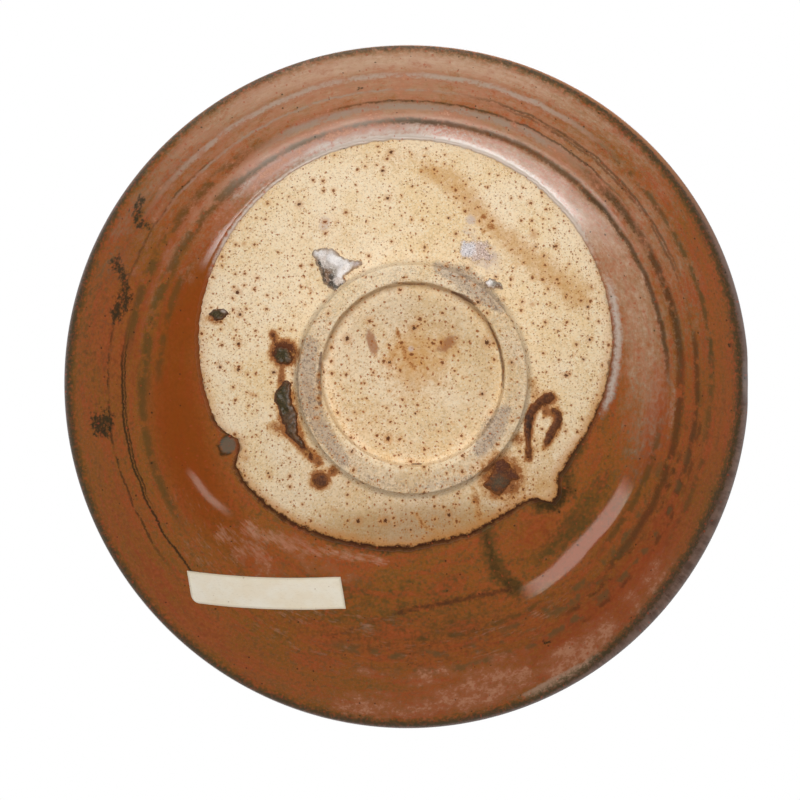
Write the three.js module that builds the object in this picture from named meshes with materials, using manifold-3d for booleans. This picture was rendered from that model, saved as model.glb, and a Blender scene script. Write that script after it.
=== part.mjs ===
// A shallow stoneware bowl, thrown on the wheel and turned at the foot, in millimetres, +Z up.
// It stands on its foot ring at z = 0 with its axis on Z. An iron-red glaze covers the inside, the
// lip and the outer wall as far as an off-centre dip line. The clay round the foot is bare, with
// drops of glaze that fell on it in the kiln, and a blank paper label is pasted on the outer wall.
// Bearings are in degrees from +X towards +Y, and "out" is a distance away from the axis.
import * as THREE from 'three';
import { mergeVertices } from 'three/addons/utils/BufferGeometryUtils.js';
import Module from 'manifold-3d';

const wasm = await Module();
wasm.setup();

// Driving dimensions of the glazed bowl and its wall
const rimDiameter = 300;
const bowlHeight = 78;
const wallAtFoot = 8;
const wallAtLip = 5;
const lipBead = 0.9; // how far the rounded lip stands out past the wall under it
const lipRise = 4; // length of wall over which the bead comes forward
const slopeAtFoot = 18; // degrees from level
const slopeAtLip = 46;
const wallPull = 0.36; // each handle of the wall's curve, over the distance between its ends

// Driving dimensions of the foot ring and the recess turned inside it
const footDiameter = 96;
const footHeight = 8.5;
const footLand = 7.6; // flat width that the bowl stands on
const footBevel = 0.9;
const footFlare = 2.2; // how far its side runs out from the bevel to the root
const footHollow = 0.33; // share of that flare reached at half its height
const recessDepth = 5.5;
const recessDraft = 0.8;
const recessFillet = 1.2;
const recessShift = -2; // the recess is turned a little off centre, along Y
const floorThickness = 7; // clay between the recess and the well of the bowl

// Glaze, and the gap that parts each fired layer from the one it lies on
const glazeThickness = 0.8;
const seat = 0.3;
const grooveDepth = 0.35; // throwing rings that the glaze has partly filled
const grooveHalfWidth = 1.6;
const groovesFromRim = [15, 22.5, 30, 37.5]; // distance of each throwing ring in from the rim

// The dip line that ends the glaze: a circle beside the axis that strays where the glaze ran
const dipDiameter = 175;
const dipCentre = new THREE.Vector2(-1.6, -16.6);
const dipStrays = [
  { bearing: 127, spread: 17, by: 3.9 }, // the clay reaches further out
  { bearing: 62, spread: 22, by: -3.4 }, // the glaze reaches further in
  { bearing: 46, spread: 3.5, by: 6.2 }, // a lobe of bare clay
  { bearing: 150, spread: 3.4, by: -7 }, // a tooth of thick glaze
];

// The paper label
const labelLength = 70.8;
const labelWidth = 15.6;
const labelThickness = 0.25;
const labelBearing = 124.7;
const labelFromRim = 40.4; // from the rim to the middle of the label
const labelTurn = 182; // direction of its long side in plan, in degrees

// Facets
const turns = 56;
const wallSteps = 8;
const lipSteps = 3;
const floorSteps = 4;
const dipSides = 120;
const dropRings = 3;
const dropSides = 18;
const labelCells = 16;
const weld = 1e-4; // points closer than this are one

const rad = THREE.MathUtils.degToRad;
const point = (radius, height) => new THREE.Vector2(radius, height);
const direction = (degrees) => point(Math.cos(rad(degrees)), Math.sin(rad(degrees)));
const along = (start, heading, distance) => start.clone().addScaledVector(heading, distance);
const footRadius = footDiameter / 2;
const rootRadius = footRadius + footFlare;
const coat = seat + glazeThickness;
const range = (count) => Array.from({ length: count }, (_, i) => i);
const steps = (count) => range(count + 1).map((i) => i / count);

// A closed lathe around +Z from a profile of (radius, height) points.
function revolve(profile) {
  return new THREE.LatheGeometry(profile, turns).rotateX(Math.PI / 2);
}

// A closed geometry as a manifold solid.
function solidFrom(geometry) {
  const bare = new THREE.BufferGeometry();
  bare.setAttribute('position', geometry.getAttribute('position'));
  if (geometry.index) bare.setIndex(geometry.index);
  const merged = mergeVertices(bare, weld);
  return new wasm.Manifold(
    new wasm.Mesh({
      numProp: 3,
      vertProperties: new Float32Array(merged.getAttribute('position').array),
      triVerts: new Uint32Array(merged.index.array),
    }),
  );
}

function geometryFrom(solid) {
  const { vertProperties, triVerts } = solid.getMesh();
  const geometry = new THREE.BufferGeometry();
  geometry.setAttribute('position', new THREE.BufferAttribute(vertProperties, 3));
  geometry.setIndex(new THREE.BufferAttribute(triVerts, 1));
  return geometry;
}

// The clay's skin
// A station is a point of the clay's profile with the direction that faces out of the clay there.
// The outer stations climb from the root of the foot to the crest of the lip, and the inner ones go
// from the crest down to the middle of the well. A coat on the clay is the same path moved outward.
const lipRadius = (wallAtLip + lipBead) / 2;
const lipUp = direction(slopeAtLip);
const lipOut = direction(slopeAtLip - 90);
const lipCentre = point(rimDiameter / 2 - coat - lipRadius, bowlHeight - coat - lipRadius);
const wallTop = along(along(lipCentre, lipUp, -lipRise), lipOut, wallAtLip - lipRadius);
const wallRoot = point(rootRadius, footHeight);
const wallHandle = wallRoot.distanceTo(wallTop) * wallPull;
const outerWall = new THREE.CubicBezierCurve(
  wallRoot,
  along(wallRoot, direction(slopeAtFoot), wallHandle),
  along(wallTop, lipUp, -wallHandle),
  wallTop,
);

function wallStation(t) {
  const heading = outerWall.getTangent(t);
  return { at: outerWall.getPoint(t), out: point(heading.y, -heading.x) };
}

function lipStation(degrees) {
  const out = direction(degrees);
  return { at: along(lipCentre, out, lipRadius), out };
}

const crest = 90;
const seam = THREE.MathUtils.radToDeg(seat / 2 / lipRadius);
const lipStart = slopeAtLip - 90;
const lipEnd = slopeAtLip + 90;

function lipArc(from, to) {
  return steps(lipSteps).map((s) => lipStation(THREE.MathUtils.lerp(from, to, s)));
}

const wallStations = steps(wallSteps).map(wallStation);
const innerWallStations = steps(wallSteps)
  .reverse()
  .map((t) => {
    const { at, out } = wallStation(t);
    const thickness = THREE.MathUtils.lerp(wallAtFoot, wallAtLip, t);
    return { at: along(at, out, -thickness), out: out.clone().negate() };
  });

// The floor of the well is level at the axis and meets the inner wall at the wall's own slope.
const floorEdge = innerWallStations.at(-1).at;
const floorMiddle = point(0, recessDepth + floorThickness);
const floorBend = (floorEdge.y - floorMiddle.y) / Math.tan(rad(slopeAtFoot));
const floorCurve = new THREE.QuadraticBezierCurve(
  floorMiddle,
  point(floorEdge.x - floorBend, floorMiddle.y),
  floorEdge,
);
const floorStations = steps(floorSteps)
  .reverse()
  .slice(1)
  .map((s) => {
    const heading = floorCurve.getTangent(s);
    return { at: floorCurve.getPoint(s), out: point(-heading.y, heading.x) };
  });

const outerStations = [...wallStations, ...lipArc(lipStart, crest - seam)];
const innerStations = [...lipArc(crest + seam, lipEnd), ...innerWallStations, ...floorStations];
const moved = (stations, distance) => stations.map(({ at, out }) => along(at, out, distance));

// Thrown and turned clay: bowl and foot ring in one, with the recess cut out of the foot afterwards
function makeBody() {
  const landOuter = footRadius - footBevel;
  const foot = [
    point(0, 0),
    point(landOuter, 0),
    point(footRadius, footBevel),
    point(footRadius + footFlare * footHollow, footHeight / 2),
  ];
  const thrown = revolve([...foot, ...moved(outerStations, 0), ...moved(innerStations, 0)]);
  const recess = makeRecess(landOuter - footLand).translate(0, recessShift, 0);
  return geometryFrom(solidFrom(thrown).subtract(solidFrom(recess)));
}

// The space turned out of the foot, widest at its mouth, where the land has a radius
function makeRecess(landInner) {
  const mouth = landInner - footBevel;
  const edge = mouth - recessDraft;
  const below = 1; // how far the cut starts under the foot, past its bevel
  return revolve([
    point(0, -below),
    point(landInner + below, -below),
    point(mouth, footBevel),
    point(edge, recessDepth - recessFillet),
    point(edge - recessFillet, recessDepth),
    point(0, recessDepth),
  ]);
}

// The outline of the bare clay, seen from below, that the glaze stops at
function dipOutline() {
  const outline = steps(dipSides).slice(1).map((s) => {
    const bearing = s * 360;
    let radius = dipDiameter / 2;
    for (const stray of dipStrays) {
      const away = (bearing - stray.bearing) / stray.spread;
      radius += stray.by * Math.exp(-(away ** 2));
    }
    return along(dipCentre, direction(bearing), radius);
  });
  return new THREE.Shape(outline);
}

// Stations of the glaze's outer face, with a shallow groove for each throwing ring
function groovedStations() {
  const stations = outerStations.map(({ at, out }) => ({ at, out, sink: 0 }));
  for (const fromRim of groovesFromRim) {
    const radius = rimDiameter / 2 - fromRim;
    for (const side of [-1, 0, 1]) {
      const t = wallParameter(radius + side * grooveHalfWidth);
      stations.push({ ...wallStation(t), sink: side === 0 ? grooveDepth : 0 });
    }
  }
  return stations.sort((a, b) => a.at.y - b.at.y);
}

// Where along the wall's curve it reaches a radius
function wallParameter(radius) {
  const halvings = 30;
  let low = 0;
  let high = 1;
  for (const _ of range(halvings)) {
    const middle = (low + high) / 2;
    if (outerWall.getPoint(middle).x < radius) low = middle;
    else high = middle;
  }
  return (low + high) / 2;
}

function makeOuterGlaze() {
  const face = groovedStations().map(({ at, out, sink }) => along(at, out, coat - sink));
  const back = moved(outerStations, seat).reverse();
  const shell = solidFrom(revolve([...face, ...back, face[0]]));
  const bare = new THREE.ExtrudeGeometry(dipOutline(), { depth: bowlHeight, bevelEnabled: false });
  return geometryFrom(shell.subtract(solidFrom(bare)));
}

function makeInnerGlaze() {
  const face = moved(innerStations, coat);
  const back = moved(innerStations, seat).reverse();
  return revolve([...back, ...face]);
}

// What lies on the outer wall
// Height of the underside at a radius, on the clay's wall moved outward by a distance
function wallHeight(radius, distance) {
  const path = moved(wallStations, distance);
  const next = path.findIndex((p) => p.x > radius);
  const i = THREE.MathUtils.clamp(next < 0 ? path.length - 1 : next, 1, path.length - 1);
  const share = (radius - path[i - 1].x) / (path[i].x - path[i - 1].x);
  return THREE.MathUtils.lerp(path[i - 1].y, path[i].y, share);
}

function onWall(plan, distance) {
  return new THREE.Vector3(plan.x, plan.y, wallHeight(plan.length(), distance));
}

// A closed solid between two nets of the same points, near on the wall and far standing off it. The
// nets are rows of equal length, and rows and columns turn from one to the other as +X does to +Y.
// A round net is closed end to end and its first row is a single point.
function between(near, far, round) {
  const lastRow = near.length - 1;
  const width = near[0].length;
  const lastColumn = width - 1;
  const positions = [...near.flat(), ...far.flat()].flatMap((p) => [p.x, p.y, p.z]);
  const id = (side, row, column) => (side * near.length + row) * width + (column % width);
  const faces = [];
  const quad = (a, b, c, d) => faces.push(a, b, c, a, c, d);
  for (const row of range(lastRow)) {
    for (const column of range(round ? width : lastColumn)) {
      const corners = [[row, column], [row + 1, column], [row + 1, column + 1], [row, column + 1]];
      quad(...corners.map(([r, c]) => id(0, r, c)));
      quad(...corners.map(([r, c]) => id(1, r, c)).reverse());
    }
  }
  const border = round
    ? range(width).map((column) => [lastRow, column])
    : [
        ...range(lastRow).map((row) => [row, 0]),
        ...range(lastColumn).map((column) => [lastRow, column]),
        ...range(lastRow).map((row) => [lastRow - row, lastColumn]),
        ...range(lastColumn).map((column) => [0, lastColumn - column]),
      ];
  border.forEach(([row, column], i) => {
    const [nextRow, nextColumn] = border[(i + 1) % border.length];
    const [farHere, farNext] = [id(1, row, column), id(1, nextRow, nextColumn)];
    quad(farHere, farNext, id(0, nextRow, nextColumn), id(0, row, column));
  });
  const geometry = new THREE.BufferGeometry();
  geometry.setAttribute('position', new THREE.Float32BufferAttribute(positions, 3));
  geometry.setIndex(faces);
  return geometryFrom(solidFrom(geometry));
}

// A drop of glass fused to the bare clay: a low dome with a rounded edge. Its plan gives the place
// that is a share of the way (reach) from the middle to the outline, at an angle (turn).
function makeDrop(plan, height, edge) {
  const rows = (thickness) =>
    steps(dropRings).map((ring) => {
      const { x: dome, y: reach } = direction(ring * 90);
      const distance = seat + thickness * (edge + height * dome);
      return range(dropSides).map((side) => onWall(plan(reach, (side / dropSides) * 360), distance));
    });
  return between(rows(0), rows(1), true);
}

// Plan of a blob: its outline is a closed curve through points around its middle
function blob(middle, points) {
  const knots = points.map(([x, y]) => new THREE.Vector3(x, y, 0));
  const curve = new THREE.CatmullRomCurve3(knots, true);
  return (reach, turn) => {
    const rim = curve.getPoint(turn / 360);
    return point(middle.x + rim.x * reach, middle.y + rim.y * reach);
  };
}

// Plan of a run: a bent ellipse along a spine, with a half width at each of its points
function run(spine, halfWidths) {
  const curve = new THREE.SplineCurve(spine);
  const widths = new THREE.SplineCurve(halfWidths.map((width, i) => point(i, width)));
  return (reach, turn) => {
    const { x, y } = direction(turn).multiplyScalar(reach);
    const t = (x + 1) / 2;
    const heading = curve.getTangent(t);
    return along(curve.getPoint(t), point(-heading.y, heading.x), y * widths.getPoint(t).y);
  };
}

// A place beside the foot, by its bearing and its distance out from the root of the foot ring
const byFoot = (bearing, out) => direction(bearing).multiplyScalar(rootRadius + out);
// A place on the bare clay, by its bearing round the dip circle and its distance in from that line
const byDip = (bearing, inward) => along(dipCentre, direction(bearing), dipDiameter / 2 - inward);

const drops = {
  tri_lobed_drop: {
    plan: blob(byFoot(-124.2, 6.8), [
      [11.4, -2], [6.4, 1.4], [3.4, 3.8], [4.9, 5.2], [-0.5, 7.2], [-3.7, 6.6],
      [-5.9, 4.2], [-7.4, -0.6], [-9.9, -7], [-6.5, -8.6], [-1.7, -8.4], [2.1, -5.1],
    ]),
    height: 1.6,
    edge: 0.35,
    glass: 'ash',
  },
  lens_drop: {
    plan: blob(byFoot(-49.4, 4.2), [
      [4.2, 1.8], [0.6, 2.4], [-3.6, 0.6], [-4.2, -1.2], [-0.8, -2.4], [3.4, -1.2],
    ]),
    height: 1.3,
    edge: 0.3,
    glass: 'ash',
  },
  crust_patch: {
    plan: blob(byFoot(-61.6, 10.4), [
      [8.2, 0.6], [8.8, 4.6], [3.2, 6], [-3.4, 4.8], [-7.6, 2.2],
      [-6.8, -3.4], [-4.2, -11.4], [-1.8, -10], [-1.6, -4.4], [5, -3.2],
    ]),
    height: 0.5,
    edge: 0.25,
    glass: 'ash',
  },
  upper_left_drop: {
    plan: blob(byFoot(-168.7, 5.4), [
      [3.4, 0.8], [3.2, 3.8], [0, 5.2], [-4.2, 4.2], [-4.4, -0.8],
      [-5.1, -7.6], [-1.4, -7.2], [-0.4, -3.6], [3.2, -3],
    ]),
    height: 1.2,
    edge: 0.3,
    glass: 'iron',
  },
  left_run: {
    plan: run(
      [byFoot(176.8, 1.6), byFoot(169, 4.2), byFoot(157, 4.4), byFoot(147, 3.4), byFoot(137.5, 3)],
      [2.2, 3.7, 3.8, 2.2, 1.4],
    ),
    height: 1.1,
    edge: 0.3,
    glass: 'iron',
  },
  round_spot: {
    plan: blob(byFoot(132.5, 6.6), [
      [3.7, 0], [2.6, 2.9], [-0.4, 3.8], [-3.2, 2.2], [-3.6, -1.2], [-1.6, -3.3], [2, -3.2],
    ]),
    height: 0.5,
    edge: 0.25,
    glass: 'iron',
  },
  diamond_drop: {
    plan: blob(byFoot(47.5, 4.9), [
      [8, 0.5], [4.8, 2.4], [2.1, 5.4], [-1.1, 8], [-4.4, 5.9], [-7.4, 3.8],
      [-5.8, 1.1], [-3.2, -2.1], [-1.5, -4.2], [2, -6.2], [4, -4.9], [6.4, -2.1],
    ]),
    height: 0.9,
    edge: 0.3,
    glass: 'iron',
  },
  right_run: {
    plan: run(
      [byFoot(5, 8.6), byFoot(12, 4.6), byFoot(20, 2.4), byFoot(28, 4.2), byFoot(34.6, 10.2)],
      [2.2, 2.2, 1.8, 1.3, 1.2],
    ),
    height: 0.7,
    edge: 0.25,
    glass: 'iron',
  },
  outer_right_run: {
    plan: run(
      [byFoot(10.5, 13.4), byFoot(15.5, 14.2), byFoot(20.5, 11.6), byFoot(26, 10.8)],
      [2.2, 3, 2.4, 1.3],
    ),
    height: 0.6,
    edge: 0.25,
    glass: 'iron',
  },
  left_chip: {
    plan: blob(byDip(-171.8, 6.2), [
      [3.2, -0.4], [2.2, 2.2], [-1, 1.6], [-3.4, 0.8], [-2.8, -1.6], [-0.6, -2.6], [2.2, -2],
    ]),
    height: 1.2,
    edge: 0.3,
    glass: 'iron',
  },
};

// The label lies straight on the wall, as paper does: from its middle a straight walk over the glaze
// goes each way along it, and from each step another goes across it.
function facing(place) {
  const probe = 0.5;
  const radius = Math.hypot(place.x, place.y);
  const rise = wallHeight(radius + probe, coat + seat) - wallHeight(radius - probe, coat + seat);
  const slope = rise / probe / 2 / radius;
  return new THREE.Vector3(slope * place.x, slope * place.y, -1).normalize();
}

function walk(start, heading, distance) {
  const places = [start];
  let ahead = heading;
  for (const _ of range(labelCells)) {
    const at = places.at(-1);
    const normal = facing(at);
    ahead = ahead.clone().addScaledVector(normal, -ahead.dot(normal)).normalize();
    const next = at.clone().addScaledVector(ahead, distance / labelCells);
    places.push(onWall(point(next.x, next.y), coat + seat));
  }
  return places;
}

function makeLabel() {
  const centre = direction(labelBearing).multiplyScalar(rimDiameter / 2 - labelFromRim);
  const middle = onWall(centre, coat + seat);
  const heading = onWall(along(centre, direction(labelTurn), 1), coat + seat).sub(middle);
  const back = walk(middle, heading.clone().negate(), labelLength / 2).reverse();
  const spine = [...back, ...walk(middle, heading, labelLength / 2).slice(1)];
  const rows = range(labelCells + 1).map((i) => {
    const here = spine[i * 2];
    const ahead = spine[Math.min(i * 2 + 1, spine.length - 1)].clone().sub(spine[Math.max(i * 2 - 1, 0)]);
    const left = facing(here).cross(ahead).normalize();
    const edges = [left, left.clone().negate()].map((side) => walk(here, side, labelWidth / 2).at(-1));
    return [edges[0], here, edges[1]];
  });
  const lifted = (lift) => rows.map((row) => row.map((p) => p.clone().addScaledVector(facing(p), lift)));
  return between(lifted(0), lifted(labelThickness), false);
}

const materials = {
  clay: new THREE.MeshStandardMaterial({ color: 0xdcc69c, roughness: 0.9, metalness: 0 }),
  glaze: new THREE.MeshStandardMaterial({ color: 0x8c4823, roughness: 0.25, metalness: 0 }),
  ash: new THREE.MeshStandardMaterial({ color: 0xb9b0aa, roughness: 0.2, metalness: 0 }),
  iron: new THREE.MeshStandardMaterial({ color: 0x4a3426, roughness: 0.25, metalness: 0 }),
  paper: new THREE.MeshStandardMaterial({ color: 0xe8dac4, roughness: 0.95, metalness: 0 }),
};

const bowl = new THREE.Group();

function add(name, geometry, material) {
  const mesh = new THREE.Mesh(geometry, material);
  mesh.name = name;
  bowl.add(mesh);
}

add('stoneware_body', makeBody(), materials.clay);
add('outer_glaze', makeOuterGlaze(), materials.glaze);
add('inner_glaze', makeInnerGlaze(), materials.glaze);
for (const [name, { plan, height, edge, glass }] of Object.entries(drops)) {
  add(name, makeDrop(plan, height, edge), materials[glass]);
}
add('paper_label', makeLabel(), materials.paper);

export default bowl;
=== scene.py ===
# A shallow stoneware bowl, seen from underneath: iron-red glaze, bare clay round a turned foot.
# Lengths are in millimetres until a mesh is made, and bearings in degrees from +X towards +Y.
import math

import bpy
import numpy as np
from mathutils import Matrix, Quaternion, Vector
from mathutils.geometry import delaunay_2d_cdt


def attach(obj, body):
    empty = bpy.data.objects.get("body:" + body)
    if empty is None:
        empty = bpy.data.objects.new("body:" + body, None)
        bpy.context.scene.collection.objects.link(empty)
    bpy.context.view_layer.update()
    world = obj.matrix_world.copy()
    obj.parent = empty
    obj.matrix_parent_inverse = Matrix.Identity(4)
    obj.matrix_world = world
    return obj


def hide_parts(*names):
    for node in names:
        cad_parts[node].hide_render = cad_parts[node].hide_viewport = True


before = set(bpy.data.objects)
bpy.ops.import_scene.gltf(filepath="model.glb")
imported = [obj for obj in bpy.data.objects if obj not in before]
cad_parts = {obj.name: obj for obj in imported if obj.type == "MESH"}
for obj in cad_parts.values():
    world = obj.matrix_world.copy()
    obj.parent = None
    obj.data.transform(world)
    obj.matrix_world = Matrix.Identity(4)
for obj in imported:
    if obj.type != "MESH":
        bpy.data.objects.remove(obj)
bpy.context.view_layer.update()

MM = 0.001

# Driving dimensions, as in the solid model
RIM_RADIUS = 150.0
BOWL_HEIGHT = 78.0
WALL_AT_FOOT = 8.0
WALL_AT_LIP = 5.0
LIP_BEAD = 0.9
LIP_RISE = 4.0
SLOPE_AT_FOOT = 18.0
SLOPE_AT_LIP = 46.0
WALL_PULL = 0.36
FOOT_RADIUS = 48.0
FOOT_HEIGHT = 8.5
FOOT_LAND = 7.6
FOOT_BEVEL = 0.9
FOOT_FLARE = 2.2
RECESS_DEPTH = 5.5
RECESS_DRAFT = 0.8
RECESS_FILLET = 1.2
RECESS_SHIFT = -2.0
FLOOR_THICKNESS = 7.0
COAT = 1.1  # from the clay to the face of the glaze
COAT_BACK = 0.3  # from the clay to the back of the glaze
CLEAR_OF_FLOOR = 0.04  # so that the foot's land and the floor are never one plane
LABEL_LENGTH = 70.8
LABEL_WIDTH = 15.6
LABEL_THICKNESS = 0.25
LABEL_BEARING = 124.7
LABEL_FROM_RIM = 40.4
LABEL_TURN = 182.0
LABEL_CORNER = 3.5

# How many points go round each mesh, and along and across the label
BODY_COLUMNS = 480
OUTER_COLUMNS = 640
INNER_COLUMNS = 480
LABEL_CELLS = (72, 16)

# The photograph's camera: it looks up at the foot from below, a little to one side
PHOTO_SIZE = 800
CAMERA = np.array([-56.96, 59.04, -1525.0])
AIM = np.array([-2.85, 6.36, 75.0])
FOCAL_PIXELS = 3651.0
SENSOR = 36.0


def camera_axes():
    ahead = AIM - CAMERA
    ahead /= np.linalg.norm(ahead)
    right = np.cross(ahead, [0.0, -1.0, 0.0])
    right /= np.linalg.norm(right)
    return right, np.cross(right, ahead), ahead


def in_photo(points):
    """Pixel coordinates in the photograph of points in millimetres."""
    right, up, ahead = camera_axes()
    away = points - CAMERA
    depth = away @ ahead
    half = PHOTO_SIZE / 2
    return np.stack([half + FOCAL_PIXELS * (away @ right) / depth,
                     half - FOCAL_PIXELS * (away @ up) / depth], axis=-1)


# Small helpers

def direction(degrees):
    angle = np.radians(degrees)
    return np.stack([np.cos(angle), np.sin(angle)], axis=-1)


def polar(points):
    """Distance from the bowl's axis and bearing of points."""
    x, y = points[..., 0], points[..., 1]
    return np.hypot(x, y), np.degrees(np.arctan2(y, x))


def all_round(columns):
    return np.linspace(0, 360, columns, endpoint=False)


def smooth(low, high, value):
    """0 at low and below, 1 at high and above, smooth between."""
    share = np.clip((value - low) / (high - low), 0, 1)
    return share * share * (3 - 2 * share)


def bell(value, centre, width):
    return np.exp(-(((value - centre) / width) ** 2))


def turned(bearing, centre):
    """How far a bearing is from another, in degrees between -180 and 180."""
    return (bearing - centre + 180) % 360 - 180


def waves(x, y, length, seed, octaves=3):
    """Smooth unevenness of about -1 to 1 over a plane, as a sum of sine waves of random headings."""
    chance = np.random.default_rng(seed)
    total = np.zeros(np.broadcast(x, y).shape)
    size = 0.0
    for octave in range(octaves):
        for _ in range(5):
            heading = chance.uniform(0, 2 * math.pi)
            rate = 2 * math.pi / length * 2**octave * chance.uniform(0.7, 1.3)
            shift = chance.uniform(0, 2 * math.pi)
            total += np.sin((x * math.cos(heading) + y * math.sin(heading)) * rate + shift) / 2**octave
        size += 2.2 / 2**octave
    return total / size


def segment_gaps(points, ends):
    """For each straight piece of a line, how far points are from it and how far along it they lie."""
    for start, end in zip(ends, ends[1:]):
        step = end - start
        share = np.clip((points - start) @ step / (step @ step), 0, 1)
        yield np.linalg.norm(points - start - share[:, None] * step, axis=1), share


# The clay's skin, as a path of points with the way out of the clay at each

LIP_RADIUS = (WALL_AT_LIP + LIP_BEAD) / 2
LIP_UP = direction(SLOPE_AT_LIP)
LIP_OUT = direction(SLOPE_AT_LIP - 90)
LIP_CENTRE = np.array([RIM_RADIUS - COAT - LIP_RADIUS, BOWL_HEIGHT - COAT - LIP_RADIUS])
WALL_TOP = LIP_CENTRE - LIP_UP * LIP_RISE + LIP_OUT * (WALL_AT_LIP - LIP_RADIUS)
WALL_ROOT = np.array([FOOT_RADIUS + FOOT_FLARE, FOOT_HEIGHT])
WALL_HANDLE = np.linalg.norm(WALL_TOP - WALL_ROOT) * WALL_PULL
WALL_CURVE = [WALL_ROOT, WALL_ROOT + direction(SLOPE_AT_FOOT) * WALL_HANDLE,
              WALL_TOP - LIP_UP * WALL_HANDLE, WALL_TOP]


def wall(t):
    """Points of the wall's curve and the ways out of it."""
    a, b, c, d = WALL_CURVE
    s = t[:, None]
    at = (1 - s) ** 3 * a + 3 * (1 - s) ** 2 * s * b + 3 * (1 - s) * s**2 * c + s**3 * d
    heading = 3 * ((1 - s) ** 2 * (b - a) + 2 * (1 - s) * s * (c - b) + s**2 * (d - c))
    heading /= np.linalg.norm(heading, axis=1)[:, None]
    return at, np.stack([heading[:, 1], -heading[:, 0]], axis=1)


def lip(start, end, count, out=0.0):
    """Points on the lip's round, moved outwards, between two angles from level."""
    ways = direction(np.linspace(start, end, count))
    return LIP_CENTRE + ways * LIP_RADIUS + ways * out


WALL_T = np.linspace(0, 1, 400)
WALL_AT, WALL_OUT = wall(WALL_T)
FACE_END = SLOPE_AT_LIP - 90  # the angle at which the wall's outside runs into the lip
BACK_START = SLOPE_AT_LIP + 90
CREST = 90


def wall_t(radius):
    return np.interp(radius, WALL_AT[:, 0], WALL_T)


def read_wall(t):
    """The same as wall, by its samples, for an array of any shape."""
    return [np.stack([np.interp(t, WALL_T, samples[:, k]) for k in (0, 1)], axis=-1)
            for samples in (WALL_AT, WALL_OUT)]


def under(radius, lift):
    """Height of the underside at a radius, on the clay's wall moved outwards by lift."""
    t = wall_t(radius)
    for _ in range(4):
        at, out = read_wall(t)
        t = np.clip(t + wall_t(radius) - wall_t(at[..., 0] + lift * out[..., 0]), 0, 1)
    at, out = read_wall(t)
    return at[..., 1] + lift * out[..., 1]


# How the thrown rim wanders: seen from below it is a little three-sided, and its lip rises and falls
RIM_WANDER = 0.4
RIM_SIDES = 3
RIM_TURN = 85.0
RIM_BULGE = 1.35
BULGE_TURN = -30.0
BULGE_SPREAD = 65.0
LIP_WANDER = 0.3
LIP_TURN = 20.0


def thrown(points):
    """Points of a true revolve, moved as the wheel and the kiln left them."""
    radius, bearing = polar(points)
    reach = (radius / RIM_RADIUS) ** 3
    inward = RIM_WANDER * (1 - np.cos(np.radians(RIM_SIDES * (bearing - RIM_TURN)))) * reach
    inward -= RIM_BULGE * bell(turned(bearing, BULGE_TURN), 0, BULGE_SPREAD) * reach**2
    moved = points.copy()
    moved[..., :2] *= (1 - inward / np.maximum(radius, 1))[..., None]
    moved[..., :2] = np.clip(moved[..., :2], -RIM_RADIUS, RIM_RADIUS)
    moved[..., 2] -= LIP_WANDER * (1 - np.cos(np.radians(2 * (bearing - LIP_TURN)))) * reach
    return moved


# The dip line that ends the glaze: a circle beside the axis, and how far out it wanders by bearing
DIP_CENTRE = np.array([-1.6, -16.6])
DIP_RADIUS = 87.5
DIP_WANDER = [
    (0, 0.0), (14, -0.9), (28, -2.4), (36, -2.9), (42, -1.6), (45.5, 3.6), (48, 4.4), (50.5, -1.5),
    (54, -3.4), (63, -3.7), (69, -2.6), (74, -2.1), (83, -2.1), (88, -0.6), (98, 0.2), (108, 0.9),
    (118, 2.6), (127, 3.7), (138, 3.7), (144, 2.4), (147.5, -3.6), (150, -4.8), (153, -1.8),
    (156, 0.3), (165, 0.7), (190, 1.1), (215, 0.5), (250, 0.2), (300, -0.2), (360, 0.0),
]


def dip_radius(bearing):
    """How far the dip line is from the bowl's axis."""
    bearings = all_round(1440)
    knots, wander = np.array(DIP_WANDER).T
    x, y = (direction(bearings) * DIP_RADIUS).T
    out = DIP_RADIUS + np.interp(bearings, knots, wander)
    out += 0.24 * waves(x, y, 5, 11) + 0.14 * waves(x, y, 2.4, 12, 1)
    radius, along = polar(DIP_CENTRE + direction(bearings) * out[:, None])
    order = np.argsort(along % 360)
    return np.interp(bearing % 360, along[order] % 360, radius[order], period=360)


# Meshes

def make_piece(name, vertices, faces, material, node, fields=None, sharp_edges=()):
    """A smooth piece that replaces a node, with its fields stored on its points."""
    mesh = bpy.data.meshes.new(name)
    mesh.from_pydata(vertices * MM, [], faces)
    mesh.validate()
    for field, values in (fields or {}).items():
        mesh.attributes.new(field, "FLOAT", "POINT").data.foreach_set("value", values.astype(np.float32))
    mesh.polygons.foreach_set("use_smooth", np.ones(len(mesh.polygons), bool))
    if len(sharp_edges):
        wanted = {tuple(sorted(edge)) for edge in sharp_edges}
        flags = [tuple(sorted(edge.vertices)) in wanted for edge in mesh.edges]
        mesh.attributes.new("sharp_edge", "BOOLEAN", "EDGE").data.foreach_set("value", flags)
    piece = bpy.data.objects.new(name, mesh)
    bpy.context.scene.collection.objects.link(piece)
    piece.data.materials.append(material)
    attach(piece, "root")
    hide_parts(node)
    return piece


def ring_faces(rows, columns, closed=False):
    """Quads between rings of points. Rings climb the outside of the bowl, or go on round a section."""
    row = np.arange(rows if closed else rows - 1)[:, None]
    column = np.arange(columns)[None, :]
    next_row = (row + 1) % rows
    next_column = (column + 1) % columns
    corners = [row * columns + column, row * columns + next_column,
               next_row * columns + next_column, next_row * columns + column]
    return np.stack(np.broadcast_arrays(*corners), axis=-1).reshape(-1, 4).tolist()


def ring_edges(row, columns):
    ring = np.arange(columns)
    return np.stack([ring, (ring + 1) % columns], axis=1) + row * columns


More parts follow.
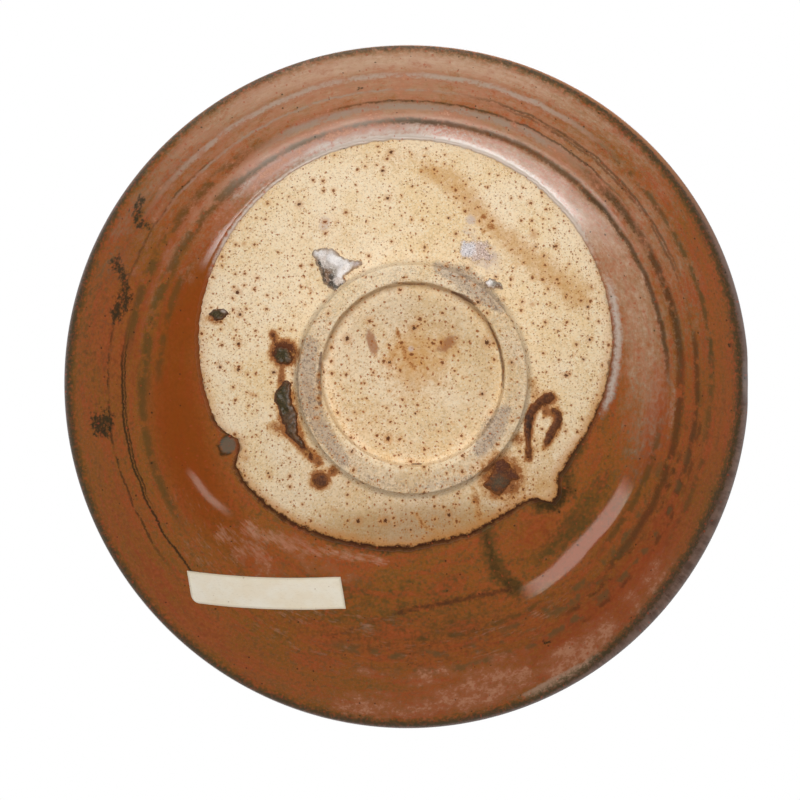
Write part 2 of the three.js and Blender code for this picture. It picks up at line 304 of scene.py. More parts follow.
def capped(rings, poles):
    """Vertices and faces of rings of points, closed by a point at each end."""
    rows, columns = rings.shape[:2]
    first, last = ring_edges(0, columns), ring_edges(rows - 1, columns)
    tip = np.full((columns, 1), rows * columns)
    faces = ring_faces(rows, columns)
    faces += np.hstack([tip, first[:, ::-1]]).tolist() + np.hstack([last, tip + 1]).tolist()
    return np.concatenate([rings.reshape(-1, 3), poles]), faces


def revolve(profile, bearings):
    """Rings of points from a profile of (radius, height) and the bearings of the columns."""
    rings = np.empty((len(profile), len(bearings), 3))
    rings[..., :2] = profile[:, None, :1] * direction(bearings)
    rings[..., 2] = profile[:, None, 1]
    return rings


# Painted marks

def strongest(*layers):
    return np.maximum.reduce(layers)


class Marks:
    """Marks painted on the points of a piece, by pixels of the photograph or by places on the wall. Each
    is 1 in its middle and fades over the outer share (soft) of it and as far again outside.
    """

    def __init__(self, vertices):
        self.pixels = in_photo(vertices)
        self.radius, self.bearing = polar(vertices)
        self.from_dip = self.radius - dip_radius(self.bearing)

    def fade(self, reach, soft):
        return 1 - smooth(1 - soft, 1 + soft, reach)

    def spot(self, centre, radii, soft=0.9, turn=0.0):
        """An ellipse. Its radii may be one number."""
        away = self.pixels - np.array(centre)
        side = direction(turn)
        across = np.array([-side[1], side[0]])
        wide, high = np.broadcast_to(radii, 2)
        return self.fade(np.hypot(away @ side / wide, away @ across / high), soft)

    def stroke(self, path, width, soft=0.9):
        """A bent line of a half width, which may change from point to point."""
        path = np.array(path, float)
        widths = np.broadcast_to(np.array(width, float), len(path))
        best = np.full(len(self.pixels), 1e9)
        for (gap, share), near, far in zip(segment_gaps(self.pixels, path), widths, widths[1:]):
            best = np.minimum(best, gap / (near + share * (far - near)))
        return self.fade(best, soft)

    def patch(self, middle, half_angle, from_rim, half_depth, soft=0.9):
        """An ellipse on the wall."""
        depth = RIM_RADIUS - self.radius
        reach = np.hypot(turned(self.bearing, middle) / half_angle, (depth - from_rim) / half_depth)
        return self.fade(reach, soft)

    def along_dip(self, middle, half_angle, out, width):
        """A line beside the dip line."""
        near = 1 - smooth(half_angle * 0.5, half_angle, np.abs(turned(self.bearing, middle)))
        return near * bell(self.from_dip, out, width)


# Materials

def srgb(red, green, blue):
    """A colour as it looks on screen, 0 to 255, in the linear values that shaders use."""
    def linear(value):
        value /= 255
        return value / 12.92 if value <= 0.04045 else ((value + 0.055) / 1.055) ** 2.4
    return linear(red), linear(green), linear(blue), 1


class Nodes:
    """A tree of shader nodes. Tints are given as they look on screen, 0 to 255."""

    def __init__(self, tree):
        self.tree = tree

    def feed(self, socket, value):
        if isinstance(value, bpy.types.NodeSocket):
            self.tree.links.new(value, socket)
        else:
            socket.default_value = srgb(*value) if socket.type == "RGBA" else value

    def add(self, kind, inputs=None, **settings):
        node = self.tree.nodes.new("ShaderNode" + kind)
        for key, value in settings.items():
            setattr(node, key, value)
        for key, value in (inputs or {}).items():
            self.feed(node.inputs[key], value)
        return node

    def math(self, operation, *values):
        return self.add("Math", dict(enumerate(values)), operation=operation).outputs[0]

    def times(self, *values):
        total = values[0]
        for value in values[1:]:
            total = self.math("MULTIPLY", total, value)
        return total

    def step(self, value, low, high):
        """0 where value is at low, 1 where it is at high, smooth between. low may be the greater."""
        ends = (low, high, 0.0, 1.0) if low < high else (high, low, 1.0, 0.0)
        names = ("From Min", "From Max", "To Min", "To Max")
        inputs = {"Value": value, **dict(zip(names, ends))}
        return self.add("MapRange", inputs, interpolation_type="SMOOTHSTEP").outputs["Result"]

    def span(self, value, low, high):
        """Straight change from low to high as value goes from 0 to 1."""
        return self.add("MapRange", {"Value": value, "To Min": low, "To Max": high}).outputs["Result"]


class Finish(Nodes):
    """A material's nodes, with its colour so far, which every cover and laid field changes."""

    def __init__(self, name):
        self.material = bpy.data.materials.new(name)
        self.material.use_nodes = True
        super().__init__(self.material.node_tree)
        self.tree.nodes.clear()
        place = self.add("TexCoord").outputs["Object"]
        self.place = self.vector("SCALE", place, Scale=1 / MM)
        self.plan = self.vector("MULTIPLY", self.place, (1, 1, 0))
        self.way = self.vector("NORMALIZE", self.plan)
        self.radius = self.add("VectorMath", {0: self.plan}, operation="LENGTH").outputs["Value"]
        self.colour = None

    def vector(self, operation, *values, **inputs):
        given = {**dict(enumerate(values)), **inputs}
        return self.add("VectorMath", given, operation=operation).outputs["Vector"]

    def field(self, name):
        return self.add("Attribute", attribute_name=name).outputs["Fac"]

    def bearing(self):
        """Degrees from +X towards +Y."""
        parts = self.add("SeparateXYZ", {0: self.plan}).outputs
        return self.math("DEGREES", self.math("ARCTAN2", parts[1], parts[0]))

    def flat(self, shift=0.0):
        """The wall laid flat, a little further from the axis if need be."""
        return self.vector("SCALE", self.way, Scale=self.math("ADD", self.radius, shift))

    def noise(self, place, size, detail=3.0, rough=0.55):
        """Noise of about 0.3 to 0.7, with lumps of a size in millimetres."""
        inputs = {"Vector": place, "Scale": 1 / size, "Detail": detail, "Roughness": rough}
        return self.add("TexNoise", inputs).outputs["Fac"]

    def streaks(self, around, across, detail=3.0, rough=0.55):
        """Noise that runs round the bowl, with lumps that are around long and across wide."""
        spread = self.vector("SCALE", self.way, Scale=RIM_RADIUS / around)
        deep = self.add("CombineXYZ", {"Z": self.math("MULTIPLY", self.radius, 1 / across)})
        return self.noise(self.vector("ADD", spread, deep.outputs[0]), 1.0, detail, rough)

    def shaken(self, place, size, reach):
        """A place pushed about by noise, which makes round marks uneven."""
        push = self.add("TexNoise", {"Vector": place, "Scale": 1 / size}).outputs["Color"]
        return self.vector("MULTIPLY_ADD", push, (reach, reach, reach), place)

    def ragged(self, value, *pushes):
        """A value pushed up and down, by pairs of a noise of 0 to 1 and how far it pushes."""
        for noise, reach in pushes:
            if reach:
                value = self.math("MULTIPLY_ADD", self.math("SUBTRACT", noise, 0.5), reach, value)
        return value

    def cells(self, place, spacing):
        """A random net of cells over a plane: how far its middle is, and two chances of each cell."""
        net = self.add("TexVoronoi", {"Vector": place, "Scale": 1 / spacing}, voronoi_dimensions="2D")
        chances = self.add("SeparateColor", {"Color": net.outputs["Color"]}).outputs
        return net.outputs["Distance"], chances[0], chances[1]

    def specks(self, place, spacing, size, share, soft=0.25, uneven=0.5):
        """Specks of about a radius on a share of the cells of a random net, with uneven edges."""
        distance, pick, chance = self.cells(place, spacing)
        radius = self.span(chance, size * 0.45, size * 1.3)
        inside = self.math("DIVIDE", self.math("MULTIPLY", distance, spacing), radius)
        inside = self.ragged(inside, (uneven, 2.2))
        return self.times(self.math("LESS_THAN", pick, share), self.step(inside, 1 + soft, 1 - soft))

    def mix(self, share, first, second):
        return self.add("Mix", {0: share, 6: first, 7: second}, data_type="RGBA").outputs[2]

    def cover(self, tint, *shares):
        """Lays a tint over the colour so far, by the product of shares."""
        self.colour = self.mix(self.times(*shares), self.colour, tint)

    def lay_field(self, field, tint, low, high, share, *pushes):
        """Lays a tint where a field, made ragged, is strong. Gives back how strongly."""
        strength = self.field(field)
        amount = self.step(self.ragged(strength, *pushes), low, high)
        amount = self.times(amount, self.step(strength, 0.01, 0.15), share)
        self.cover(tint, amount)
        return amount

    def bump(self, height, distance):
        inputs = {"Height": height, "Distance": distance * MM, "Strength": 1.0}
        return self.add("Bump", inputs).outputs["Normal"]

    def show(self, shader):
        self.add("OutputMaterial", {"Surface": shader.outputs[0]})
        return self.material

    def finish(self, roughness, normal, **sockets):
        inputs = {"Base Color": self.colour, "Roughness": roughness, "Normal": normal}
        inputs.update((key.replace("_", " "), value) for key, value in sockets.items())
        return self.show(self.add("BsdfPrincipled", inputs))


def clay_material():
    paint = Finish("bare_stoneware")
    # Grain and specks lie on the skin as if it were rolled out flat, so none is drawn out on the foot.
    skin = paint.vector("SCALE", paint.way, Scale=paint.field("skin"))
    skin = paint.shaken(paint.shaken(skin, 1.3, 1.1), 0.45, 0.4)
    patches = paint.noise(paint.place, 24, 4, 0.65)
    ragged = paint.noise(paint.place, 3.0, 5, 0.7)
    fine = paint.noise(paint.place, 0.8, 4, 0.7)
    grit = paint.noise(paint.place, 0.5, 3, 0.7)
    clumps = paint.step(paint.noise(paint.place, 7, 3, 0.6), 0.36, 0.66)
    crowd = paint.math("ADD", paint.field("crowd"), paint.span(clumps, -0.8, 0.7))
    _, sand, _ = paint.cells(skin, 0.62)

    paint.colour = paint.mix(paint.step(patches, 0.36, 0.66), (250, 226, 190), (241, 210, 162))
    paint.cover((188, 152, 108), paint.step(sand, 0.72, 0.95), 0.34)
    paint.cover((246, 234, 210), paint.step(sand, 0.3, 0.05), 0.5)
    paint.cover((196, 164, 124), paint.step(fine, 0.5, 0.68), 0.3)

    def laid_on_clay(name, tint, low, high, share, mottle=1.0):
        paint.lay_field(name, tint, low, high, share, (ragged, mottle), (fine, mottle * 0.5))

    # The shade field is painted shade: it darkens the lower side of the bare clay, the recess and the foot
    # ring.
    laid_on_clay("shade", (158, 112, 58), 0.0, 1.3, 0.75, 0.5)
    laid_on_clay("ochre", (202, 146, 78), 0.15, 1.1, 0.8)
    laid_on_clay("blush", (162, 104, 68), 0.2, 0.9, 0.8)
    laid_on_clay("lilac", (206, 184, 172), 0.2, 0.9, 0.8)
    laid_on_clay("soot", (170, 148, 132), 0.15, 1.1, 0.6)
    smear = paint.ragged(paint.streaks(5, 1.5, 5, 0.75), (fine, 0.5))
    paint.cover((112, 90, 78), paint.step(paint.field("soot"), 0.1, 0.8), paint.step(smear, 0.48, 0.66), 0.75)
    laid_on_clay("rust", (204, 148, 86), 0.15, 0.6, 0.7, 1.4)
    laid_on_clay("rust", (150, 84, 36), 0.5, 0.8, 0.85, 1.4)
    laid_on_clay("rust", (84, 42, 22), 0.86, 1.12, 0.9, 1.2)
    # Painted shade in creases: thin dark lines along the recess's mouth and the foot's outer edge.
    laid_on_clay("iron", (96, 56, 34), 0.35, 0.9, 0.85, 0.8)

    # Near the glaze the clay flashed orange, most where the kiln was hottest.
    scorch, to_glaze = paint.field("scorch"), paint.field("to_glaze")
    edge = paint.ragged(to_glaze, (ragged, 5.0))
    paint.cover((198, 130, 62), paint.step(edge, 5.5, -0.5), scorch, 0.95)
    edge = paint.ragged(to_glaze, (ragged, 4.5), (fine, 2.0))
    edge = paint.math("SUBTRACT", edge, paint.times(scorch, 0.5))
    paint.cover((74, 38, 18), paint.step(edge, 0.9, -0.3), paint.span(scorch, 0.1, 1.0))

    def scattered(spacing, size, share, tint, strength, soft=0.25):
        share = paint.times(paint.span(crowd, 0.8, 1.7), share)
        marks = paint.specks(skin, spacing, size, share, soft, grit)
        paint.cover(tint, marks, strength)
        return marks

    # The bigger specks have a rusty halo. A halo lies in the same cells as its specks.
    scattered(5.4, 1.2, 0.4, (214, 152, 84), 0.6, 0.9)
    scattered(14.0, 1.5, 0.42, (196, 128, 66), 0.6, 0.9)
    pits = [scattered(1.3, 0.28, 0.4, (190, 128, 66), 0.66), scattered(2.6, 0.4, 0.42, (164, 92, 38), 0.88),
            scattered(5.4, 0.56, 0.4, (126, 66, 26), 0.92), scattered(14.0, 0.7, 0.32, (88, 46, 20), 0.95)]
    height = paint.ragged(paint.times(fine, 0.6), (sand, 0.3))
    for marks in pits:
        height = paint.math("MULTIPLY_ADD", marks, -0.15, height)
    return paint.finish(paint.span(fine, 0.98, 0.75), paint.bump(height, 0.16), Specular_IOR_Level=0.25)


# Colours that the glaze takes where it lies thick, thin or full of crystals. The pale and grey ones also paint
# sheen on the rings of the wall's lit side.
PALE_GLAZE_SHEEN = (192, 180, 164)
GREY_GLAZE_SHEEN = (166, 148, 130)
DULL_GLAZE = (120, 102, 80)
SAGE_GLAZE = (106, 86, 52)
OLIVE_GLAZE = (84, 72, 38)
DARK_GLAZE = (60, 48, 30)

# Throwing rings round the outer wall: distance from the rim, half width, bearing of the middle, half
# the span of bearings, drift per degree, colour, share of it, and how broken the ring is
RINGS = [
    (15.0, 1.2, -98, 54, 0.012, PALE_GLAZE_SHEEN, 0.6, 0.5),
    (16.8, 1.3, -25, 30, 0.02, OLIVE_GLAZE, 0.7, 0.8),
    (20.8, 0.5, -146, 20, 0.0, DARK_GLAZE, 0.5, 0.6),
    (22.0, 0.55, -112, 38, 0.012, GREY_GLAZE_SHEEN, 0.65, 0.2),
    (22.6, 0.6, -50, 34, 0.02, DARK_GLAZE, 0.6, 0.5),
    (24.2, 0.6, -46, 34, 0.02, DARK_GLAZE, 0.5, 0.7),
    (24.8, 1.3, 8, 26, 0.01, DARK_GLAZE, 0.6, 0.8),
    (27.8, 0.5, -74, 40, 0.01, DARK_GLAZE, 0.7, 0.3),
    (30.3, 1.7, -88, 42, 0.0, GREY_GLAZE_SHEEN, 0.75, 0.2),
    (31.6, 1.8, -26, 30, 0.02, DARK_GLAZE, 0.7, 0.6),
    (33.0, 1.8, 22, 32, 0.0, DARK_GLAZE, 0.6, 0.8),
    (28.4, 2.0, -148, 32, 0.0, OLIVE_GLAZE, 0.65, 0.85),
    (26.5, 0.5, 160, 36, 0.0, DARK_GLAZE, 0.9, 0.2),
    (27.7, 0.35, 172, 22, 0.0, DARK_GLAZE, 0.8, 0.3),
    (20.2, 0.5, 168, 30, 0.0, DARK_GLAZE, 0.7, 0.8),
    (36.6, 2.2, -154, 36, 0.0, OLIVE_GLAZE, 0.65, 0.85),
    (37.2, 1.4, -108, 32, 0.0, DULL_GLAZE, 0.85, 0.2),
    (37.4, 1.4, -66, 34, 0.018, DARK_GLAZE, 0.62, 0.3),
    (38.6, 1.2, -25, 30, 0.01, DARK_GLAZE, 0.7, 0.5),
    (42.8, 1.6, -166, 18, 0.0, OLIVE_GLAZE, 0.5, 0.9),
    (35.0, 1.8, 166, 22, 0.0, OLIVE_GLAZE, 0.6, 0.7),
    (25.5, 1.8, 58, 56, 0.0, SAGE_GLAZE, 0.7, 1.1),
    (33.0, 2.0, 72, 44, 0.0, SAGE_GLAZE, 0.7, 1.1),
    (41.0, 1.4, 26, 20, 0.0, OLIVE_GLAZE, 0.6, 0.8),
    (18.0, 1.4, 10, 26, 0.0, OLIVE_GLAZE, 0.5, 1.0),
    (29.6, 1.1, 34, 30, 0.0, DARK_GLAZE, 0.6, 1.15),
    (36.4, 1.3, 44, 34, 0.0, SAGE_GLAZE, 0.75, 1.1),
    (22.4, 1.0, 30, 34, 0.01, DARK_GLAZE, 0.5, 1.2),
    (40.2, 1.2, 74, 22, 0.0, OLIVE_GLAZE, 0.6, 1.1),
]


def lay_rings(paint, ragged, mottle):
    """Colours the throwing rings of the outer wall."""
    angle = paint.bearing()
    depth = paint.ragged(paint.math("SUBTRACT", RIM_RADIUS, paint.radius), (paint.streaks(14, 30), 2.6),
                         (ragged, 1.4), (mottle, 1.4), (paint.streaks(2.6, 10, 4, 0.6), 0.9))
    breaks = paint.streaks(9, 6, 3, 0.6)
    for from_rim, half_width, middle, half_span, drift, tint, share, broken in RINGS:
        away = paint.math("WRAP", paint.math("SUBTRACT", angle, middle), 180.0, -180.0)
        at = paint.math("MULTIPLY_ADD", away, drift, from_rim)
        off = paint.math("ABSOLUTE", paint.math("SUBTRACT", depth, at))
        inside = paint.ragged(paint.math("DIVIDE", off, half_width), (mottle, 1.6))
        near = paint.step(paint.math("ABSOLUTE", away), half_span, half_span * 0.55)
        whole = paint.step(paint.math("ADD", breaks, 0.3 * (1 - broken)), 0.42, 0.56)
        paint.cover(tint, paint.step(inside, 1.6, 0.3), near, whole, share)


def glaze_material(name, outside):
    """Iron-red glaze. The outside also shows the dip line and the marks of the photograph."""
    paint = Finish(name)
    cloud = paint.noise(paint.place, 30, 3, 0.6)
    streak = paint.streaks(26, 3.4, 4, 0.6)
    ragged = paint.noise(paint.place, 2.4, 5, 0.68)
    mottle = paint.noise(paint.place, 1.4, 4, 0.62)
    lumps = paint.noise(paint.place, 8, 3, 0.6)
    # Streaks that give the painted sheen and the film their brushed look.
    brushed_sheen = paint.streaks(8, 1.3, 5, 0.65)
    grain = paint.noise(paint.place, 0.7, 3)
    rough = paint.span(grain, 0.02, 0.07)
    gloss = 0.5

    paint.colour = paint.mix(paint.step(cloud, 0.36, 0.64), (150, 92, 38), (164, 90, 42))
    paint.cover((168, 80, 44), paint.step(streak, 0.5, 0.62), 0.6)
    paint.cover((120, 92, 48), paint.step(streak, 0.46, 0.34), 0.3)
    paint.cover((112, 88, 50), paint.step(ragged, 0.52, 0.62), 0.45)
    paint.cover((106, 84, 50), paint.step(mottle, 0.52, 0.62), 0.5)
    paint.cover((178, 90, 54), paint.step(mottle, 0.46, 0.36), 0.55)
    paint.cover((190, 112, 70), paint.step(grain, 0.52, 0.62), 0.3)

    def laid(field, tint, low, high, share, mottled=1.4, lumpy=0.0, brush=0.0):
        return paint.lay_field(field, tint, low, high, share, (ragged, mottled), (mottle, mottled * 0.5),
                           (lumps, lumpy), (brushed_sheen, brush))

    if outside:
        laid("deep", (144, 66, 16), 0.2, 1.0, 0.75, 0.6)
        laid("red", (164, 70, 36), 0.3, 0.9, 0.75)
        laid("olive", OLIVE_GLAZE, 0.2, 1.1, 0.75, 1.4, 1.0)
        # Film is partly the glaze's own pale film and partly painted sheen.
        film_and_sheen = laid("film_and_sheen", (208, 172, 142), 0.0, 1.1, 0.85, 0.8, 0.6, 0.5)
        laid("film_and_sheen", (216, 184, 160), 0.6, 1.5, 0.5, 1.6, 1.0, 1.0)
        # Brushed marks are painted sheen, pale and streaky.
        laid("brushed_sheen", (204, 150, 122), 0.2, 1.2, 0.7, 0.8, 1.6, 2.4)
        # Haze is a pale band beside the dip line, partly the glaze's grey edge and partly painted sheen.
        haze_and_sheen = laid("haze_and_sheen", (206, 190, 176), 0.1, 1.0, 0.9, 0.9)
        lay_rings(paint, ragged, mottle)
        # Frost is partly crackle in the glaze and partly painted reflection, pale and mottled.
        laid("frost_and_sheen", (174, 106, 72), 0.1, 0.9, 0.8, 1.4, 2.0)
        frost_and_sheen = laid("frost_and_sheen", (198, 140, 106), 0.65, 1.25, 0.75, 2.4, 2.4)
        # Milky marks paint a reflection: a pale smooth patch near the lip.
        laid("milky_sheen", (188, 152, 126), 0.3, 0.8, 0.8, 0.8)
        laid("moss", (40, 46, 30), 0.3, 0.95, 0.85, 2.6)
        laid("murk", (62, 46, 26), 0.1, 1.0, 0.85, 1.2)
        laid("seam", (86, 46, 34), 0.2, 1.1, 0.6, 2.0)
        laid("chip", (104, 100, 86), 0.2, 0.8, 0.8, 0.8)
        # Where the kiln was hottest the glaze ends in a thin dark line, and its bead is matt.
        scorch, from_dip = paint.field("scorch"), paint.field("from_dip")
        edge = paint.ragged(from_dip, (ragged, 4.4), (mottle, 2.4))
        paint.cover((66, 38, 20), paint.step(edge, 2.6, 0.2), scorch, 0.9)
        bead = paint.times(paint.step(from_dip, 1.9, 1.2), paint.step(scorch, 0.0, 0.2))
        film_haze_and_sheen = paint.math("ADD", film_and_sheen, haze_and_sheen)
        for amount, more in ((bead, 0.75), (film_haze_and_sheen, 0.1), (frost_and_sheen, 0.2)):
            rough = paint.math("MULTIPLY_ADD", amount, more, rough)
        gloss = paint.span(bead, 0.5, 0.1)

    # On the lip the glaze is thin: a dark line, then purple-brown, and nearly bare on the crest.
    feather = paint.streaks(3.2, 9, 4, 0.6)
    from_lip = paint.field("from_lip")
    edge = paint.math("SUBTRACT", from_lip, paint.field("lip_width"))
    edge = paint.ragged(edge, (feather, 4.0), (ragged, 2.4), (mottle, 2.0))
    paint.cover(OLIVE_GLAZE, paint.step(edge, 4.6, 0.6), paint.step(mottle, 0.40, 0.54), 0.8)
    paint.cover((72, 62, 46), paint.step(edge, 2.3, -0.3), 0.66)
    purple = paint.mix(paint.step(feather, 0.36, 0.62), (106, 80, 68), (140, 112, 98))
    paint.cover(purple, paint.step(edge, -0.5, -2.7), 0.9)
    crest = paint.mix(paint.field("warm"), (124, 100, 90), (172, 106, 52))
    paint.cover(crest, paint.step(paint.ragged(from_lip, (mottle, 2.0)), 1.3, 0.3), 0.85)

    dots = paint.specks(paint.shaken(paint.flat(), 1.0, 0.6), 7.0, 0.35, 0.3)
    paint.cover((52, 42, 30), dots, 0.7)
    paint.cover((176, 78, 46), paint.specks(paint.shaken(paint.flat(40), 1.0, 0.9), 4.6, 0.5, 0.4), 0.5)

    height = paint.math("ADD", paint.times(ragged, 0.5), paint.times(grain, 0.2))
    if outside:
        height = paint.math("MULTIPLY_ADD", paint.times(film_haze_and_sheen, grain), 1.2, height)
    height = paint.math("MULTIPLY_ADD", dots, -0.8, height)
    return paint.finish(rough, paint.bump(height, 0.009), IOR=1.52, Specular_IOR_Level=gloss)


def glass_material(name, body, other, rim, tints, roughness, gloss, pits, flecks, crusty):
    """Glass that fused on the clay. Tints are the fields that colour places of it, with their colours.
    Crusty is how much of it is pitted and flecked.
    """
    paint = Finish(name)
    ragged = paint.noise(paint.place, 1.8, 5, 0.65)
    fine = paint.noise(paint.place, 0.7, 4, 0.7)
    paint.colour = paint.mix(paint.step(ragged, 0.4, 0.62), body, other)
    for field, tint in tints.items():
        paint.lay_field(field, tint, 0.2, 1.0, 0.9, (ragged, 1.4), (fine, 1.0))
    edge = paint.ragged(paint.field("thick"), (ragged, 1.2), (fine, 0.8))
    paint.cover(rim, paint.step(edge, 0.5, 0.05))
    paint.cover(pits, paint.step(fine, 0.52, 0.64), crusty)
    paint.cover(flecks, paint.step(fine, 0.46, 0.34), crusty)
    normal = paint.bump(paint.math("ADD", ragged, paint.times(fine, crusty)), 0.14)
    return paint.finish(paint.span(fine, roughness, roughness + 0.2), normal, Specular_IOR_Level=gloss)


def paper_material():
    paint = Finish("aged_paper")
    fibre = paint.noise(paint.vector("MULTIPLY", paint.place, (0.5, 1.6, 1.0)), 0.9, 5, 0.7)
    blotch = paint.noise(paint.place, 14, 3, 0.6)
    paint.colour = paint.mix(paint.step(blotch, 0.35, 0.7), (255, 245, 226), (251, 236, 210))
    paint.cover((214, 196, 164), paint.step(fibre, 0.5, 0.75), 0.35)
    paint.cover((206, 182, 144), paint.step(paint.field("to_edge"), 1.4, 0.0), 0.5)
    paint.cover((176, 136, 88), paint.specks(paint.plan, 6.0, 0.3, 0.35), 0.4)
    return paint.finish(0.9, paint.bump(fibre, 0.05), Specular_IOR_Level=0.25)


# The clay

LAND_OUTER = FOOT_RADIUS - FOOT_BEVEL
LAND_INNER = LAND_OUTER - FOOT_LAND
RECESS_MOUTH = LAND_INNER - FOOT_BEVEL
RECESS_FLOOR = RECESS_MOUTH - RECESS_DRAFT
HIDDEN_FROM = 112.0  # the radius past which glaze covers the clay all round


def arc(centre, radius, start, end, count):
    return np.array(centre) + direction(np.linspace(start, end, count)) * radius


def foot_profile():
    """The foot from the middle of the recess to the root of the wall."""
    fillet_centre = (RECESS_FLOOR - RECESS_FILLET, RECESS_DEPTH - RECESS_FILLET)
    floor = np.linspace((0.9, RECESS_DEPTH), (fillet_centre[0], RECESS_DEPTH), 40)
    fillet = arc(fillet_centre, RECESS_FILLET, 90, 12, 5)[1:]
    side = np.linspace(fillet[-1], (RECESS_MOUTH, FOOT_BEVEL * 1.1), 5)[1:]
    inner_bevel = arc((LAND_INNER, FOOT_BEVEL), FOOT_BEVEL, 180, 270, 6)[1:]
    land = np.linspace((LAND_INNER, 0), (LAND_OUTER, 0), 10)[1:]
    outer_bevel = arc((LAND_OUTER, FOOT_BEVEL), FOOT_BEVEL, 270, 360, 6)[1:]
    share = np.linspace(0, 1, 9)[1:]
    flare = np.stack([FOOT_RADIUS + FOOT_FLARE * share**2.2,
                      FOOT_BEVEL + (FOOT_HEIGHT - FOOT_BEVEL) * share], axis=1)
    return np.concatenate([floor, fillet, side, inner_bevel, land, outer_bevel, flare])


def inside_profile(count, depth):
    """The inside of the clay from the lip to the middle of the well, moved outwards by depth."""
    t = np.linspace(1, 0, count)
    at, out = wall(t)
    thickness = (WALL_AT_FOOT + (WALL_AT_LIP - WALL_AT_FOOT) * t)[:, None]
    side = at - out * (thickness + depth)
    edge = side[-1]
    middle = np.array([0, RECESS_DEPTH + FLOOR_THICKNESS + depth])
    bend = np.array([edge[0] - (edge[1] - middle[1]) / math.tan(math.radians(SLOPE_AT_FOOT)), middle[1]])
    s = np.linspace(1, 0, count)[1:-1, None]
    floor = (1 - s) ** 2 * middle + 2 * (1 - s) * s * bend + s**2 * edge
    return np.concatenate([side, floor]), middle[1]


def turn_foot(rings, radius, bearings, in_foot, on_skin):
    """Marks of the turning tool: the recess is off centre and keeps a spiral, and the land is worn."""
    rings[..., 1] += np.where(in_foot, RECESS_SHIFT * (1 - smooth(LAND_INNER, LAND_OUTER, radius)), 0)
    x, y = rings[..., 0], rings[..., 1]
    spiral = np.sin(2 * math.pi * (radius / 4.6 + bearings / 360)) * smooth(2, 9, radius)
    ridge = 0.5 * np.exp(-((x - 0.4 - 1.2 * np.sin(y / 3.0)) / 0.9) ** 2) * bell(y, 0.5, 6)
    on_floor = in_foot & (radius < RECESS_FLOOR)
    rings[..., 2] += np.where(on_floor, 0.09 * spiral - ridge + 0.12 * waves(x, y, 14, 3), 0)
    rings[..., 2] += np.where(on_skin, 0.10 * waves(x, y, 30, 4) + 0.05 * np.sin(radius / 2.1), 0)
    on_land = in_foot & (radius > LAND_INNER - 0.2) & (radius < FOOT_RADIUS)
    rings[..., 2] += np.where(on_land, 0.09 * (1 + waves(x, y, 12, 5)), 0)


def make_body(material):
    bearings = all_round(BODY_COLUMNS)
    foot = foot_profile()
    bare, _ = wall(wall_t(np.linspace(WALL_ROOT[0], HIDDEN_FROM, 62))[1:])
    hidden, _ = wall(np.linspace(wall_t(HIDDEN_FROM), 1, 9)[1:])
    over = lip(FACE_END, BACK_START, 7)[1:-1]
    inside, middle = inside_profile(12, 0)
    profile = np.concatenate([foot, bare, hidden, over, inside])
    rings = revolve(profile, bearings)
    row = np.arange(len(profile))[:, None]
    on_skin = (row >= len(foot) - 2) & (row < len(foot) + len(bare))
    turn_foot(rings, profile[:, :1], bearings, row < len(foot), on_skin)

    vertices, faces = capped(thrown(rings), [(0, RECESS_SHIFT, RECESS_DEPTH - 0.3), (0, 0, middle)])
    vertices[:, 2] = np.maximum(vertices[:, 2], CLEAR_OF_FLOOR)
    travelled = np.concatenate([[0], np.cumsum(np.linalg.norm(np.diff(profile, axis=0), axis=1))])
    skin = np.concatenate([np.repeat(travelled, BODY_COLUMNS), [0.0, travelled[-1]]])
    fields = {**clay_fields(vertices), "skin": skin}
    make_piece("clay_body", vertices, faces, material, "stoneware_body", fields)


